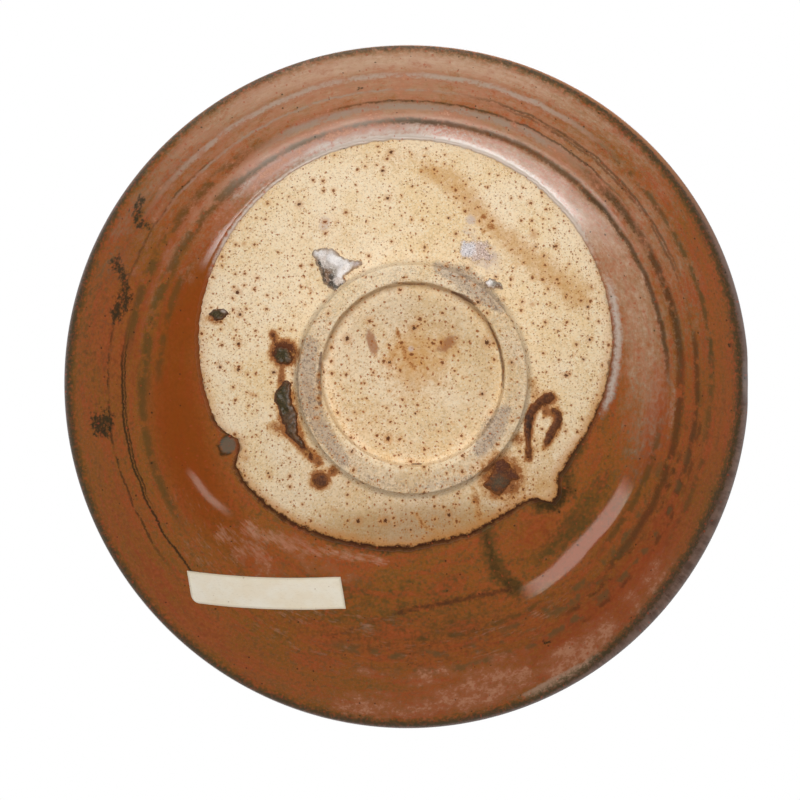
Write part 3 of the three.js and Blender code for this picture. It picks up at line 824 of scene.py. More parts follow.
def clay_fields(vertices):
    """Stains of the bare clay, its painted shade, how crowded its specks are, and how near the glaze is."""
    mark = Marks(vertices)
    spot, stroke, radius, bearing = mark.spot, mark.stroke, mark.radius, mark.bearing
    recess_wall = [np.array((413, 373)) + direction(turn) * 89 for turn in range(-170, -5, 15)]
    rust = strongest(
        1.3 * spot((284, 353), (15, 14), 0.6), 1.1 * stroke([(277, 350), (273, 334)], 4.5),
        stroke([(282, 366), (281, 381), (285, 396), (288, 415), (291, 430), (302, 446), (318, 462)],
               [3, 4, 10, 11, 11, 6, 6], 0.7),
        1.2 * stroke([(292, 432), (304, 447), (312, 458)], [5, 4, 4], 0.8),
        0.75 * spot((275, 428), (8, 7), 0.8), 1.2 * spot((320, 480), (11, 10), 0.7),
        spot((333, 471), 6, 0.8), 0.6 * stroke([(532, 382), (536, 398), (546, 395)], 5, 0.8),
        stroke([(550, 398), (535, 408), (529, 420), (528, 440), (529, 458)], [8, 6, 6, 4, 5], 0.7),
        0.9 * stroke([(546, 412), (556, 412), (558, 424), (549, 438), (545, 447)], [5, 6, 6, 6, 4], 0.7),
        spot((502, 477), (23, 24), 0.6), 0.8 * spot((518, 440), (8, 7)),
        0.6 * stroke([(474, 490), (477, 503), (480, 520)], 4),
        0.7 * stroke([(417, 514), (423, 526), (438, 532)], 2.5), 0.8 * spot((484, 217), (4, 3), 0.5),
        0.7 * spot((491, 227), (6, 4), 0.5, 30), 0.6 * spot((483, 231), 3, 0.5),
        0.7 * spot((215, 320), (12, 6), 0.8, 10), 0.7 * spot((336, 279), (6, 8), 0.8),
        0.18 * stroke([(488, 268), (487, 278), (493, 290)], 2, 0.8),
        0.62 * stroke([(397, 328), (401, 342), (407, 358), (416, 371)], [1.5, 3, 4, 1.5]),
        0.5 * stroke([(401, 343), (394, 352), (392, 360)], [3, 4, 2]),
    )
    ochre = strongest(
        0.8 * stroke([(428, 170), (450, 180), (470, 200), (484, 219), (520, 250), (578, 296)],
                     [10, 14, 13, 11, 13, 16]),
        0.85 * spot((416, 360), (32, 38)), 0.8 * spot((446, 344), (18, 16)),
        0.5 * spot((430, 330), (30, 12), turn=-20), 0.4 * spot((400, 160), (60, 14)),
        0.35 * spot((330, 232), (40, 26)), 0.5 * spot((540, 470), (40, 60), turn=30),
        0.5 * spot((470, 528), (46, 18), turn=-10), 0.8 * spot((544, 486), (20, 16)),
        0.4 * spot((370, 420), (30, 20)), 0.4 * spot((300, 410), (34, 60)),
    )
    blush = strongest(
        spot((372, 343), (5, 14), 0.6, -16), spot((447, 344), (12, 5.5), turn=-38),
        0.4 * stroke([(396, 330), (404, 345), (413, 362)], [3, 6, 3]),
    )
    lilac = strongest(
        0.8 * spot((325, 224), (6, 8)), spot((411, 349), 3, 0.5), 0.9 * spot((470, 220), (6, 5), 0.8, 20),
        0.7 * spot((486, 258), (18, 14), 0.8, 20), 0.5 * stroke([(466, 228), (474, 236)], 6),
    )
    soot = strongest(
        stroke([(438, 267), (462, 277), (478, 290), (500, 308)], [6, 12, 12, 6], 0.7),
        stroke([(310, 345), (306, 380), (311, 408), (325, 436), (344, 462)], [9, 11, 10, 9, 6], 0.8),
        1.2 * stroke([(504, 412), (492, 432), (481, 449)], [7, 11, 8], 0.8),
        0.6 * stroke([(344, 462), (380, 484), (420, 488), (470, 478)], 5),
        0.3 * spot((432, 424), (24, 12)), 0.3 * spot((375, 290), (30, 6)),
        0.34 * smooth(38, 40, radius) * (1 - smooth(47, 49, radius)),
    )
    # Painted shade in creases: thin dark lines along the recess's mouth and the foot's outer edge.
    iron = strongest(
        0.9 * stroke([(452, 292), (464, 297), (475, 304)], [1.5, 3, 2], 0.8),
        0.8 * stroke([(488, 322), (498, 343), (503, 366), (503, 388)], [1, 1.8, 2.2, 1], 0.8),
        0.8 * stroke([(321, 352), (319, 378), (320, 404)], [1.5, 3.5, 2.5]),
        0.8 * stroke([(412, 464), (421, 464)], 1.2, 0.6),
        0.6 * stroke([(392, 282), (408, 284), (424, 284)], 1.6, 0.6),
        0.5 * stroke([(300, 346), (299, 380), (303, 408), (316, 434)], [0.8, 1.4, 2, 1.4]),
        0.45 * stroke([(316, 434), (333, 458), (352, 474), (380, 488), (413, 492), (450, 487)], 1.5),
        0.4 * stroke([(521, 362), (521, 392)], 1),
    )
    crowd = strongest(
        spot((404, 350), (50, 46)), 0.8 * spot((360, 420), (50, 44)), 0.6 * spot((560, 340), (50, 100)),
        0.7 * spot((470, 505), (90, 40), turn=-10), 0.5 * spot((230, 330), (40, 90)),
    )
    # Painted shade: the lower side of the clay and the shadow under the foot ring's edge, the recess and one
    # side of its wall, and the foot ring save its lit side.
    shade = strongest(
        1.1 * spot((420, 528), (134, 28), turn=-4), 0.3 * spot((300, 470), (70, 50), turn=40),
        0.8 * stroke(recess_wall, 4), 0.6 * spot((410, 480), (90, 14)), 0.38 * spot((413, 377), 86, 0.15),
        0.5 * smooth(0.2, 1, np.sin(np.radians(bearing))) * smooth(38, 44, radius),
        0.5 * smooth(38, 40, radius) * (1 - smooth(47, 50, radius))
        * (1 - bell(turned(bearing, -95), 0, 50)),
    )
    across, down = mark.pixels.T
    scorch = 0.1 + 0.4 * smooth(200, 440, down) + 0.5 * smooth(400, 500, down + 0.3 * across - 100)
    return {"rust": rust, "ochre": ochre, "blush": blush, "lilac": lilac, "soot": soot, "iron": iron,
            "crowd": crowd, "shade": shade, "scorch": scorch, "to_glaze": -mark.from_dip}


# The two coats of glaze

def glaze_relief(x, y, radius, bearing):
    """How far the glaze stands proud of its mean face: throwing rings and slow lumps."""
    deepest = 0.07
    relief = 0.045 * waves(x, y, 34, 21, 2)
    for from_rim, half_width, middle, half_span, drift, _, _, _ in RINGS:
        away = turned(bearing, middle)
        near = 1 - smooth(half_span * 0.55, half_span, np.abs(away))
        depth = min(deepest, 0.03 * half_width + 0.015)
        relief -= depth * bell(RIM_RADIUS - radius, from_rim + drift * away, half_width + 0.4) * near
    return relief


def make_outer_glaze(material):
    bearings = all_round(OUTER_COLUMNS)
    ways = direction(bearings)
    start = dip_radius(bearings)
    top = WALL_AT[-1, 0]
    # At the dip line the glaze swells out of the clay in a bead, which is narrower at the photo's top.
    bead = np.array([0.0, 0.06, 0.15, 0.3, 0.5, 0.75, 1.05, 1.4])
    swell = COAT * np.sqrt(1 - (1 - bead / bead[-1]) ** 2)
    width = 1 - 0.55 * bell(turned(bearings, -75), 0, 50)
    full = start + bead[-1] * width
    climb = np.linspace(0, 1, 58)[1:, None]
    radius = np.concatenate([start + bead[:, None] * width, full + (top - full) * climb])
    lift = np.concatenate([swell, np.full(len(climb), COAT)])[:, None]
    at, out = read_wall(wall_t(radius))
    x, y = ways.T[:, None] * radius
    proud = glaze_relief(x, y, radius, bearings) * smooth(0, 12, radius - start)
    proud *= 1 - smooth(142, 146, radius)
    face = at + out * (lift - 0.05 + proud)[..., None]
    face = np.concatenate([ways * face[..., :1], face[..., 1:]], axis=-1)

    crest = revolve(lip(FACE_END, CREST, 12, COAT)[1:], bearings)
    lip_back = revolve(lip(CREST, FACE_END, 4, COAT_BACK), bearings)
    share = np.linspace(1, 0, 6)[1:, None]
    radius = start + (top - start) * share
    height = under(radius, COAT_BACK * share - 0.1)
    back = np.concatenate([ways * radius[..., None], height[..., None]], axis=-1)
    rings = thrown(np.concatenate([face, crest, lip_back, back]))
    faces = ring_faces(len(rings), OUTER_COLUMNS, closed=True)
    crease = ring_edges(len(face) + len(crest) - 1, OUTER_COLUMNS).tolist()
    vertices = rings.reshape(-1, 3)
    fields = {**glaze_fields(vertices), **lip_fields(vertices)}
    make_piece("outer_glaze_coat", vertices, faces, material, "outer_glaze", fields, crease)


# How far the rounded lip's thin brown glaze reaches down the outer wall, by bearing
LIP_BAND = [(-180, 2.2), (-150, 1.4), (-120, 0.7), (-90, 0.6), (-60, 1.5), (-30, 2.8), (-5, 3.8), (10, 4.6),
            (25, 6.8), (42, 6.8), (54, 4.6), (66, 2.2), (90, 1.8), (140, 2.0), (180, 2.2)]
LIP_BAND_INSIDE = 2.4


def lip_fields(vertices):
    """How far down the outside from the lip a place is, and how far the thin brown glaze reaches."""
    radius, bearing = polar(vertices)
    bearings, widths = np.array(LIP_BAND).T
    past_lip = LIP_CENTRE[1] - vertices[:, 2]
    return {"from_lip": np.where(past_lip > 0, RIM_RADIUS - radius, past_lip),
            "lip_width": np.interp(bearing, bearings, widths),
            "warm": smooth(70, 40, np.abs(turned(bearing, -85)))}


def glaze_fields(vertices):
    """Where the outer glaze is thick, thin, crystalled or hazed, and where sheen and reflections are painted
    on it.
    """
    mark = Marks(vertices)
    spot, stroke, patch, along_dip = mark.spot, mark.stroke, mark.patch, mark.along_dip
    olive = strongest(
        stroke([(485, 530), (490, 552), (498, 573), (515, 588)], 11), 0.9 * patch(40, 18, 57, 6),
        0.9 * stroke([(540, 505), (556, 505), (570, 488), (566, 470), (580, 446)], 9),
        0.5 * stroke([(479, 536), (500, 524), (526, 506)], 5), 0.4 * along_dip(16, 26, 4, 4),
        0.5 * patch(15, 24, 47, 12), 0.25 * patch(60, 60, 29, 14), 0.5 * along_dip(110, 20, 2.5, 2),
        0.45 * patch(-150, 40, 12, 9), 0.25 * patch(24, 44, 30, 16), 0.2 * patch(-10, 30, 24, 16),
        0.6 * patch(98, 46, 48, 24), 0.35 * patch(-165, 30, 18, 14),
    )
    moss = strongest(
        0.85 * stroke([(126, 289), (122, 303), (116, 317)], [6, 9, 6]),
        0.75 * stroke([(119, 257), (115, 265), (122, 270), (124, 284)], [4, 6, 6, 4]),
        0.8 * stroke([(141, 199), (137, 211), (140, 223), (148, 225)], [5, 6, 6, 5]),
        patch(172.5, 2.4, 16.5, 5, 0.8), 0.9 * spot((510, 67), (2.6, 2), 0.5),
        spot((547, 643), (4, 3), 0.5), spot((360, 88.5), (3.5, 2), 0.5),
        0.7 * spot((730, 345), (2, 5), 0.5),
    )
    murk = strongest(
        0.8 * stroke([(540, 502), (553, 506), (566, 490)], 7),
        0.5 * stroke([(486, 534), (490, 552), (498, 573), (515, 588)], [3, 4, 6, 7]),
        0.55 * along_dip(100, 34, 1.5, 1.6), 0.5 * stroke([(566, 490), (566, 466), (590, 420)], 6),
        0.7 * stroke([(212, 417), (226, 432), (236, 432)], 2.2),
        stroke([(237, 434), (224, 437), (219, 446), (222, 455), (230, 453)], 1.8),
    )
    seam = strongest(
        0.5 * stroke([(334, 637), (365, 624), (400, 612)], 2.2),
        stroke([(400, 612), (460, 600), (510, 589)], 3.2),
    )
    red = strongest(
        0.8 * patch(10, 16, 43, 7), 0.7 * patch(-160, 26, 32, 2.6), 0.6 * patch(50, 10, 66, 9),
        0.5 * patch(80, 60, 36, 12), patch(42, 20, 48, 4, 0.6), 0.5 * patch(140, 30, 12, 9),
        0.4 * patch(30, 60, 12, 6), 0.7 * patch(44, 34, 22, 12), 0.5 * patch(-170, 24, 24, 16),
    )
    # Frost is partly crackle in the glaze and partly painted reflection, pale and mottled.
    frost_and_sheen = strongest(
        0.9 * patch(57, 9, 12, 7, 0.6), 0.8 * patch(76, 10, 13, 8, 0.6), 0.6 * patch(40, 8, 13, 7, 0.6),
        0.6 * patch(93, 10, 9, 6, 0.6), 0.5 * patch(82, 18, 23, 4, 0.6), 0.45 * patch(131, 9, 50, 6, 0.6),
        0.9 * along_dip(-112, 26, 6.5, 2.2), 0.45 * patch(118, 14, 64, 5, 0.6),
        0.5 * patch(-95, 50, 34, 2.5, 0.6), 0.35 * patch(-60, 40, 32, 3, 0.6),
        0.6 * patch(-138, 6, 42, 5, 0.6), 0.35 * patch(-110, 50, 20, 14, 0.6),
    )
    # Film is partly the glaze's own pale film and partly painted sheen.
    film_and_sheen = strongest(
        0.6 * patch(-24, 36, 48, 12, 0.8), 0.95 * patch(-94, 42, 8.5, 6),
        0.4 * patch(-62, 30, 43, 7, 0.8), 0.45 * patch(-46, 32, 31, 16), 0.7 * patch(-95, 52, 34, 4, 0.8),
        0.6 * patch(-96, 42, 20, 9), 0.3 * patch(-132, 22, 43, 7),
    )
    # Brushed marks are painted sheen, pale and streaky.
    brushed_sheen = strongest(
        0.2 * patch(120, 30, 40, 14), 0.12 * patch(90, 30, 30, 12),
        0.7 * stroke([(222, 534), (238, 545), (268, 556)], 8), 0.15 * patch(64, 22, 36, 10),
        0.7 * stroke([(250, 528), (276, 540), (300, 548), (350, 556), (386, 562)], [8, 8, 7, 5, 4]),
    )
    # Haze is a pale band beside the dip line, partly the glaze's grey edge and partly painted sheen.
    haze_and_sheen = strongest(
        1.1 * along_dip(-78, 54, 0.9, 2.1), 0.8 * along_dip(-126, 34, 0.6, 1.2),
        0.8 * along_dip(-9, 24, 2.5, 2.2), 0.7 * patch(-108, 28, 41, 3.4, 0.6),
    )
    # Milky marks paint a reflection: a pale smooth patch near the lip.
    milky_sheen = strongest(
        0.9 * patch(62, 8.5, 5.2, 2.4, 0.5), 0.5 * patch(6, 8, 36, 2, 0.8),
    )
    deep = strongest(
        patch(165, 34, 50, 13), 0.9 * patch(-163, 26, 50, 12),
    )
    chip = spot((228, 445), 8, 0.5)
    down = mark.pixels[:, 1]
    scorch = smooth(180, 400, down) * (0.6 + 0.4 * smooth(380, 500, down))
    return {"olive": olive, "moss": moss, "murk": murk, "seam": seam, "red": red, "frost_and_sheen": frost_and_sheen,
            "film_and_sheen": film_and_sheen, "brushed_sheen": brushed_sheen, "haze_and_sheen": haze_and_sheen, "chip": chip, "milky_sheen": milky_sheen, "deep": deep,
            "scorch": scorch, "from_dip": mark.from_dip}


def make_inner_glaze(material):
    bearings = all_round(INNER_COLUMNS)
    crest = revolve(lip(CREST, BACK_START, 12, COAT), bearings)
    profile, middle = inside_profile(52, COAT)
    rings = revolve(profile[1:], bearings)
    x, y = rings[..., 0], rings[..., 1]
    radius, _ = polar(rings)
    # The potter's fingers leave a spiral that climbs from the well to the lip.
    spiral = np.cos(2 * math.pi * (radius / 8.5 - bearings / 360))
    fade = smooth(6, 20, radius) * (1 - smooth(136, 142, radius))
    rings[..., 2] += (0.22 * spiral + 0.1 * waves(x, y, 30, 31)) * fade
    back_profile, back_middle = inside_profile(8, COAT_BACK)
    back = revolve(back_profile, bearings)
    lip_back = revolve(lip(BACK_START, CREST, 4, COAT_BACK)[1:], bearings)
    order = np.concatenate([back[::-1], lip_back, crest, rings])
    vertices, faces = capped(thrown(order), [(0, 0, back_middle), (0, 0, middle)])
    crease = ring_edges(len(back) + len(lip_back), INNER_COLUMNS).tolist()
    height = vertices[:, 2]
    fields = {"from_lip": BOWL_HEIGHT - height, "lip_width": np.full(len(height), LIP_BAND_INSIDE)}
    make_piece("inner_glaze_coat", vertices, faces, material, "inner_glaze", fields, crease)


# The label, which is walked over the wall step by step, so that it keeps the size of flat paper

LABEL_LIFT = COAT + 0.3


def on_coat(plan):
    return np.array([plan[0], plan[1], under(np.array([np.hypot(*plan[:2])]), LABEL_LIFT)[0]])


def coat_normal(place):
    probe = 0.5
    radius = np.hypot(place[0], place[1])
    ends = under(np.array([radius + probe, radius - probe]), LABEL_LIFT)
    slope = (ends[0] - ends[1]) / probe / 2 / radius
    normal = np.array([slope * place[0], slope * place[1], -1])
    return normal / np.linalg.norm(normal)


def walk(start, heading, distance, cells):
    """Places along a straight walk over the coat."""
    places = [start]
    for _ in range(cells):
        normal = coat_normal(places[-1])
        heading = heading - normal * (heading @ normal)
        heading = heading / np.linalg.norm(heading)
        places.append(on_coat(places[-1] + heading * distance / cells))
    return places


def label_grid():
    """Places under the label, row by row along it, and the way out at each."""
    long, wide = LABEL_CELLS
    centre = direction(LABEL_BEARING) * (RIM_RADIUS - LABEL_FROM_RIM)
    middle = on_coat(centre)
    heading = on_coat(centre + direction(LABEL_TURN)) - middle
    spine = walk(middle, -heading, LABEL_LENGTH / 2, long // 2)[::-1]
    spine += walk(middle, heading, LABEL_LENGTH / 2, long // 2)[1:]
    grid = []
    for i, here in enumerate(spine):
        left = np.cross(coat_normal(here), spine[min(i + 1, long)] - spine[max(i - 1, 0)])
        left /= np.linalg.norm(left)
        grid.append(walk(here, left, LABEL_WIDTH / 2, wide // 2)[::-1]
                    + walk(here, -left, LABEL_WIDTH / 2, wide // 2)[1:])
    return np.array(grid), np.array([[coat_normal(place) for place in row] for row in grid])


def make_label(material):
    grid, normals = label_grid()
    rows, wide = grid.shape[:2]
    along, across = np.meshgrid(np.linspace(0, LABEL_LENGTH, rows), np.linspace(0, LABEL_WIDTH, wide),
                                indexing="ij")
    # One corner is worn round, and the edges are a little uneven where the strip was torn and rubbed.
    corner = np.hypot(np.maximum(0, LABEL_CORNER - (LABEL_LENGTH - along)),
                      np.maximum(0, LABEL_CORNER - across))
    pull = np.maximum(0, corner - LABEL_CORNER)[..., None]
    inward = grid[-8, 4] - grid
    grid += inward / np.maximum(np.linalg.norm(inward, axis=-1), 1)[..., None] * pull
    curl = 0.35 * smooth(3, 0, along) * smooth(5, 0, np.minimum(across, LABEL_WIDTH - across))
    lifted = 0.02 + 0.05 * (1 + waves(along, across, 18, 41)) + curl
    front = grid + normals * (lifted + LABEL_THICKNESS)[..., None]
    rear = grid + normals * lifted[..., None]
    vertices = np.concatenate([front.reshape(-1, 3), rear.reshape(-1, 3)])
    index = np.arange(rows * wide).reshape(rows, wide)
    quads = np.stack([index[:-1, :-1], index[1:, :-1], index[1:, 1:], index[:-1, 1:]], axis=-1)
    quads = quads.reshape(-1, 4)
    rim = np.concatenate([index[:-1, 0], index[-1, :-1], index[:0:-1, -1], index[0, :0:-1]])
    after = np.roll(rim, -1)
    side = np.stack([rim, rim + rows * wide, after + rows * wide, after], axis=1)
    faces = quads[:, ::-1].tolist() + (quads + rows * wide).tolist() + side[:, ::-1].tolist()
    to_edge = np.minimum(np.minimum(along, LABEL_LENGTH - along), np.minimum(across, LABEL_WIDTH - across))
    fields = {"to_edge": np.tile(to_edge.reshape(-1), 2)}
    outline = list(zip(rim, after))
    make_piece("blank_label", vertices, faces, material, "paper_label", fields, outline)


# Drops of glass on the bare clay

def to_wall(pixels):
    """Places on the bare clay seen at pixels of the photograph."""
    right, up, ahead = camera_axes()
    half = PHOTO_SIZE / 2
    rays = ahead + ((pixels[:, :1] - half) * right - (pixels[:, 1:] - half) * up) / FOCAL_PIXELS
    height = np.full(len(pixels), 20.0)
    for _ in range(30):
        at = CAMERA + rays * ((height - CAMERA[2]) / rays[:, 2])[:, None]
        height = (height + under(np.hypot(at[:, 0], at[:, 1]), 0.0)) / 2
    return at


def curve_through(knots, count):
    """Points evenly along a closed smooth curve through knots."""
    knots = np.array(knots, float)
    points = []
    for i in range(len(knots)):
        before, start, end, after = [knots[(i + k) % len(knots)] for k in (-1, 0, 1, 2)]
        for s in np.linspace(0, 1, 16, endpoint=False):
            bend = (2 * before - 5 * start + 4 * end - after) * s**2
            twist = (3 * start - before - 3 * end + after) * s**3
            points.append(0.5 * (2 * start + (end - before) * s + bend + twist))
    points = np.array(points)
    travelled = np.concatenate([[0], np.cumsum(np.linalg.norm(np.diff(points, axis=0), axis=1))])
    wanted = np.linspace(0, travelled[-1], count, endpoint=False)
    return np.stack([np.interp(wanted, travelled, points[:, k]) for k in (0, 1)], axis=1)


def edge_distance(points, outline):
    """How far points are from a closed outline, in plan."""
    closed = np.concatenate([outline, outline[:1]])
    return np.minimum.reduce([gap for gap, _ in segment_gaps(points, closed)])


def inside_outline(points, outline):
    """Which points lie inside a closed outline: a line out of them crosses it an odd number of times."""
    odd = np.zeros(len(points), bool)
    for start, end in zip(outline, np.roll(outline, -1, axis=0)):
        rise = end[1] - start[1]
        if rise:
            beside = (start[1] > points[:, 1]) != (end[1] > points[:, 1])
            crossing = start[0] + (points[:, 1] - start[1]) / rise * (end[0] - start[0])
            odd ^= beside & (points[:, 0] < crossing)
    return odd


def filled(outline, spacing):
    """Triangles that fill an outline, with its own points first and then a staggered net of others."""
    low, high = outline.min(axis=0), outline.max(axis=0)
    net = []
    for i, y in enumerate(np.arange(low[1], high[1], spacing * 0.87)):
        start = low[0] + (i % 2) * spacing / 2
        net += [(x, y) for x in np.arange(start, high[0], spacing)]
    net = np.array(net)
    net = net[inside_outline(net, outline)]
    net = net[edge_distance(net, outline) > spacing * 0.45]
    points = np.concatenate([outline, net])
    found = delaunay_2d_cdt([Vector(p) for p in points], [], [list(range(len(outline)))], 1, 1e-5)
    return np.array([list(p) for p in found[0]]), [list(face) for face in found[2]]


def make_drop(name, node, outline, height, material, shoulder=1.8, lumps=0.3):
    """A drop of glass whose outline is given in pixels of the photograph."""
    sunk = 0.25
    spacing = 0.55
    border = to_wall(curve_through(outline, 96))[:, :2]
    x, y = border.T
    border = border + 0.42 * np.stack([waves(x, y, 2.8, len(name)), waves(x, y, 2.8, len(node) + 20)], axis=1)
    turning = np.roll(border, -1, axis=0)
    if np.sum(border[:, 0] * turning[:, 1] - border[:, 1] * turning[:, 0]) < 0:
        border = border[::-1]
    plan, faces = filled(border, spacing)
    thick = np.minimum(edge_distance(plan, border) / shoulder, 1)
    dome = np.sqrt(1 - (1 - thick) ** 2)
    rise = height * dome * (1 + lumps * waves(plan[:, 0], plan[:, 1], 5.5, len(name)))
    ground = under(np.hypot(plan[:, 0], plan[:, 1]), 0.0)
    front = np.concatenate([plan, (ground - rise)[:, None]], axis=1)
    back = np.concatenate([plan, (ground + sunk)[:, None]], axis=1)
    vertices = thrown(np.concatenate([front, back]))
    count = len(plan)
    ring = np.arange(len(border))
    after = np.roll(ring, -1)
    side = np.stack([ring, after, after + count, ring + count], axis=1).tolist()
    skin = [face[::-1] for face in faces]
    base = [[corner + count for corner in face] for face in faces]
    fields = {"thick": np.concatenate([thick, np.zeros(count)]), **glass_fields(vertices)}
    make_piece(name, vertices, skin + base + side, material, node, fields)


def glass_fields(vertices):
    """Places of the drops that have a colour of their own, and painted highlights and shade on the tri-lobed
    drop and the lens.
    """
    mark = Marks(vertices)
    spot, stroke = mark.spot, mark.stroke
    lilac = strongest(
        spot((358, 263), (6, 5), 0.8), spot((484, 254), (17, 12), turn=20),
        0.6 * spot((288, 418), (6, 10), 0.8),
    )
    # White includes painted highlights: the stroke across the tri-lobed drop and the small spot on the lens.
    white = strongest(
        1.2 * stroke([(330, 258), (345, 263), (341, 274)], [4, 6, 4], 0.8),
        spot((489, 282), (4, 2.5), 0.5), 1.2 * spot((467, 249), 8, 0.8), spot((224, 311), (3, 2), 0.8),
        0.8 * spot((320, 252), (9, 5), 0.8, 20),
    )
    # Umber includes painted shade: the stroke down the tri-lobed drop's left edge and the spot on the lens's
    # darker edge.
    umber = strongest(
        1.1 * spot((326, 278), (6, 10), 0.8), spot((499, 287), (5, 2.5), 0.8, 20),
        spot((465.5, 259), (3, 2.5), 0.5), spot((499, 464), (9, 8), 0.8), spot((513, 474), 6, 0.8),
        0.7 * stroke([(318, 262), (322, 274)], 3, 0.8),
    )
    # Green includes painted shade: the thin stroke down the tri-lobed drop's left edge.
    green = strongest(
        1.3 * stroke([(331, 285), (336, 291), (346, 284)], [4, 4, 3], 0.8),
        0.9 * stroke([(319, 262), (323, 272), (325, 284)], 1.6, 0.8),
        1.2 * spot((331, 277), (2.5, 3), 0.8), spot((282, 355), 7, 0.7),
        stroke([(281, 388), (281, 402), (284, 410)], [5, 7, 5], 0.8), spot((216, 314), (6, 4), 0.8),
        spot((530, 424), (4, 9), 0.8),
    )
    # Slate includes painted shade on the lens's darker edge.
    slate = strongest(
        0.8 * spot((499, 482), (10, 8), 1.0), 0.6 * spot((288, 428), 6, 0.8),
        0.8 * spot((331, 273), (10, 7), turn=-30), spot((497, 284), (8, 4), 0.8, 20),
    )
    return {"lilac": lilac, "white": white, "umber": umber, "green": green, "slate": slate}


def along_spine(spine, widths):
    """An outline round a bent line, given a half width at each of its points."""
    spine = np.array(spine, float)
    heading = np.gradient(spine, axis=0)
    heading /= np.linalg.norm(heading, axis=1)[:, None]
    side = np.stack([-heading[:, 1], heading[:, 0]], axis=1) * np.array(widths, float)[:, None]
    start = spine[0] - heading[0] * widths[0] * 0.8
    end = spine[-1] + heading[-1] * widths[-1] * 0.8
    return [start, *(spine + side), end, *(spine - side)[::-1]]


def make_drops():
    # In the ash glass, white also colours the painted highlights on the tri-lobed drop and the lens, and
    # umber, green and slate their painted shade.
    pale = glass_material(
        "ash_glass", (206, 192, 182), (220, 208, 198), (160, 132, 104),
        {"lilac": (196, 180, 180), "slate": (134, 126, 112), "umber": (126, 88, 52), "green": (48, 42, 30),
         "white": (246, 240, 236)}, 0.4, 0.45, (116, 96, 82), (250, 246, 240), 0.5)
    crust = glass_material(
        "ash_crust", (210, 180, 152), (218, 196, 172), (224, 192, 150),
        {"lilac": (212, 184, 170), "umber": (112, 76, 54), "white": (222, 216, 218)},
        0.6, 0.3, (104, 78, 66), (250, 244, 242), 0.95)
    dark = glass_material(
        "iron_glass", (74, 54, 30), (108, 72, 38), (92, 46, 20),
        {"slate": (84, 68, 52), "lilac": (110, 90, 74), "green": (64, 58, 32), "white": (170, 156, 146)},
        0.3, 0.4, (36, 26, 16), (150, 118, 88), 0.5)
    matt = glass_material(
        "iron_slag", (110, 62, 32), (84, 48, 28), (128, 74, 34),
        {"umber": (96, 54, 36), "green": (56, 38, 28), "slate": (92, 80, 60)},
        0.55, 0.25, (62, 34, 20), (158, 106, 62), 0.45)
    make_drop("pale_glass_drop", "tri_lobed_drop", [
        (312.4, 251.4), (320.6, 248.4), (328.8, 247.3), (335, 250), (339, 254.5), (346, 258.6), (354, 260.6),
        (362, 262), (359, 266.7), (351, 271.3), (344.5, 277), (347, 283), (341, 288), (335, 293.3), (331, 289),
        (324, 284.6), (321.5, 275), (318.6, 267.8), (314, 259)], 2.0, pale, 3.0, 0.4)
    make_drop("glass_lens", "lens_drop", [
        (484.8, 284), (487, 279.5), (492, 278.6), (497, 280.5), (503.5, 287), (502, 289.5), (494, 288.5),
        (487.5, 287)], 1.5, pale, 2.0, 0.2)
    make_drop("ash_crust_patch", "crust_patch", [
        (460, 244), (463, 239), (468, 241), (473, 238), (480, 241), (487, 240), (491, 246), (488, 250),
        (495, 256), (490, 262), (482, 259), (476, 264), (468, 259), (461, 257)], 0.45, crust, 2.4, 0.8)
    make_drop("olive_glass_drop", "upper_left_drop", [
        (275, 351), (279, 346), (286, 348.5), (291, 353), (293, 360), (288, 364.5), (281, 364), (275.5, 360)],
        1.3, dark)
    make_drop("long_glass_run", "left_run", along_spine(
        [(287, 384), (282.5, 396), (285, 406), (289, 416), (291, 425), (292, 432), (297, 439), (304, 447)],
        [4.5, 8.6, 7.4, 8.6, 6.4, 6, 3.4, 2]), 1.3, dark, 2.2, 0.5)
    make_drop("soft_brown_spot", "round_spot", [
        (312, 480), (315, 475), (321, 473.5), (327, 477), (328, 483), (323, 487.5), (316, 486.5)],
        0.35, matt, 2.6)
    make_drop("slate_diamond", "diamond_drop", [
        (493.8, 458.5), (503.4, 459), (510.4, 465.5), (516, 472), (520, 478), (512, 481.5), (506, 489.7),
        (498, 496), (490.6, 491), (483, 486), (486.8, 479.5), (493, 472)], 0.9, matt, 2.6)
    make_drop("bent_glass_run", "right_run", along_spine(
        [(551, 397), (542, 401), (535, 407), (530, 415), (528.5, 424), (528, 434), (528.5, 444), (529, 456)],
        [5, 4.6, 4, 4, 4, 3.2, 2.2, 3]), 0.8, matt, 1.6)
    make_drop("outer_brown_run", "outer_right_run", along_spine(
        [(553, 410), (558, 414), (558, 421), (554, 428), (550, 436), (546, 444)],
        [2.5, 3.5, 4.5, 4.6, 4.2, 2.6]), 0.6, matt, 2.0)
    make_drop("small_glass_chip", "left_chip", [
        (209.5, 314), (213, 309.5), (220, 309), (227, 311.5), (227, 316), (221, 320), (214, 319)], 1.4, dark)


# Stage

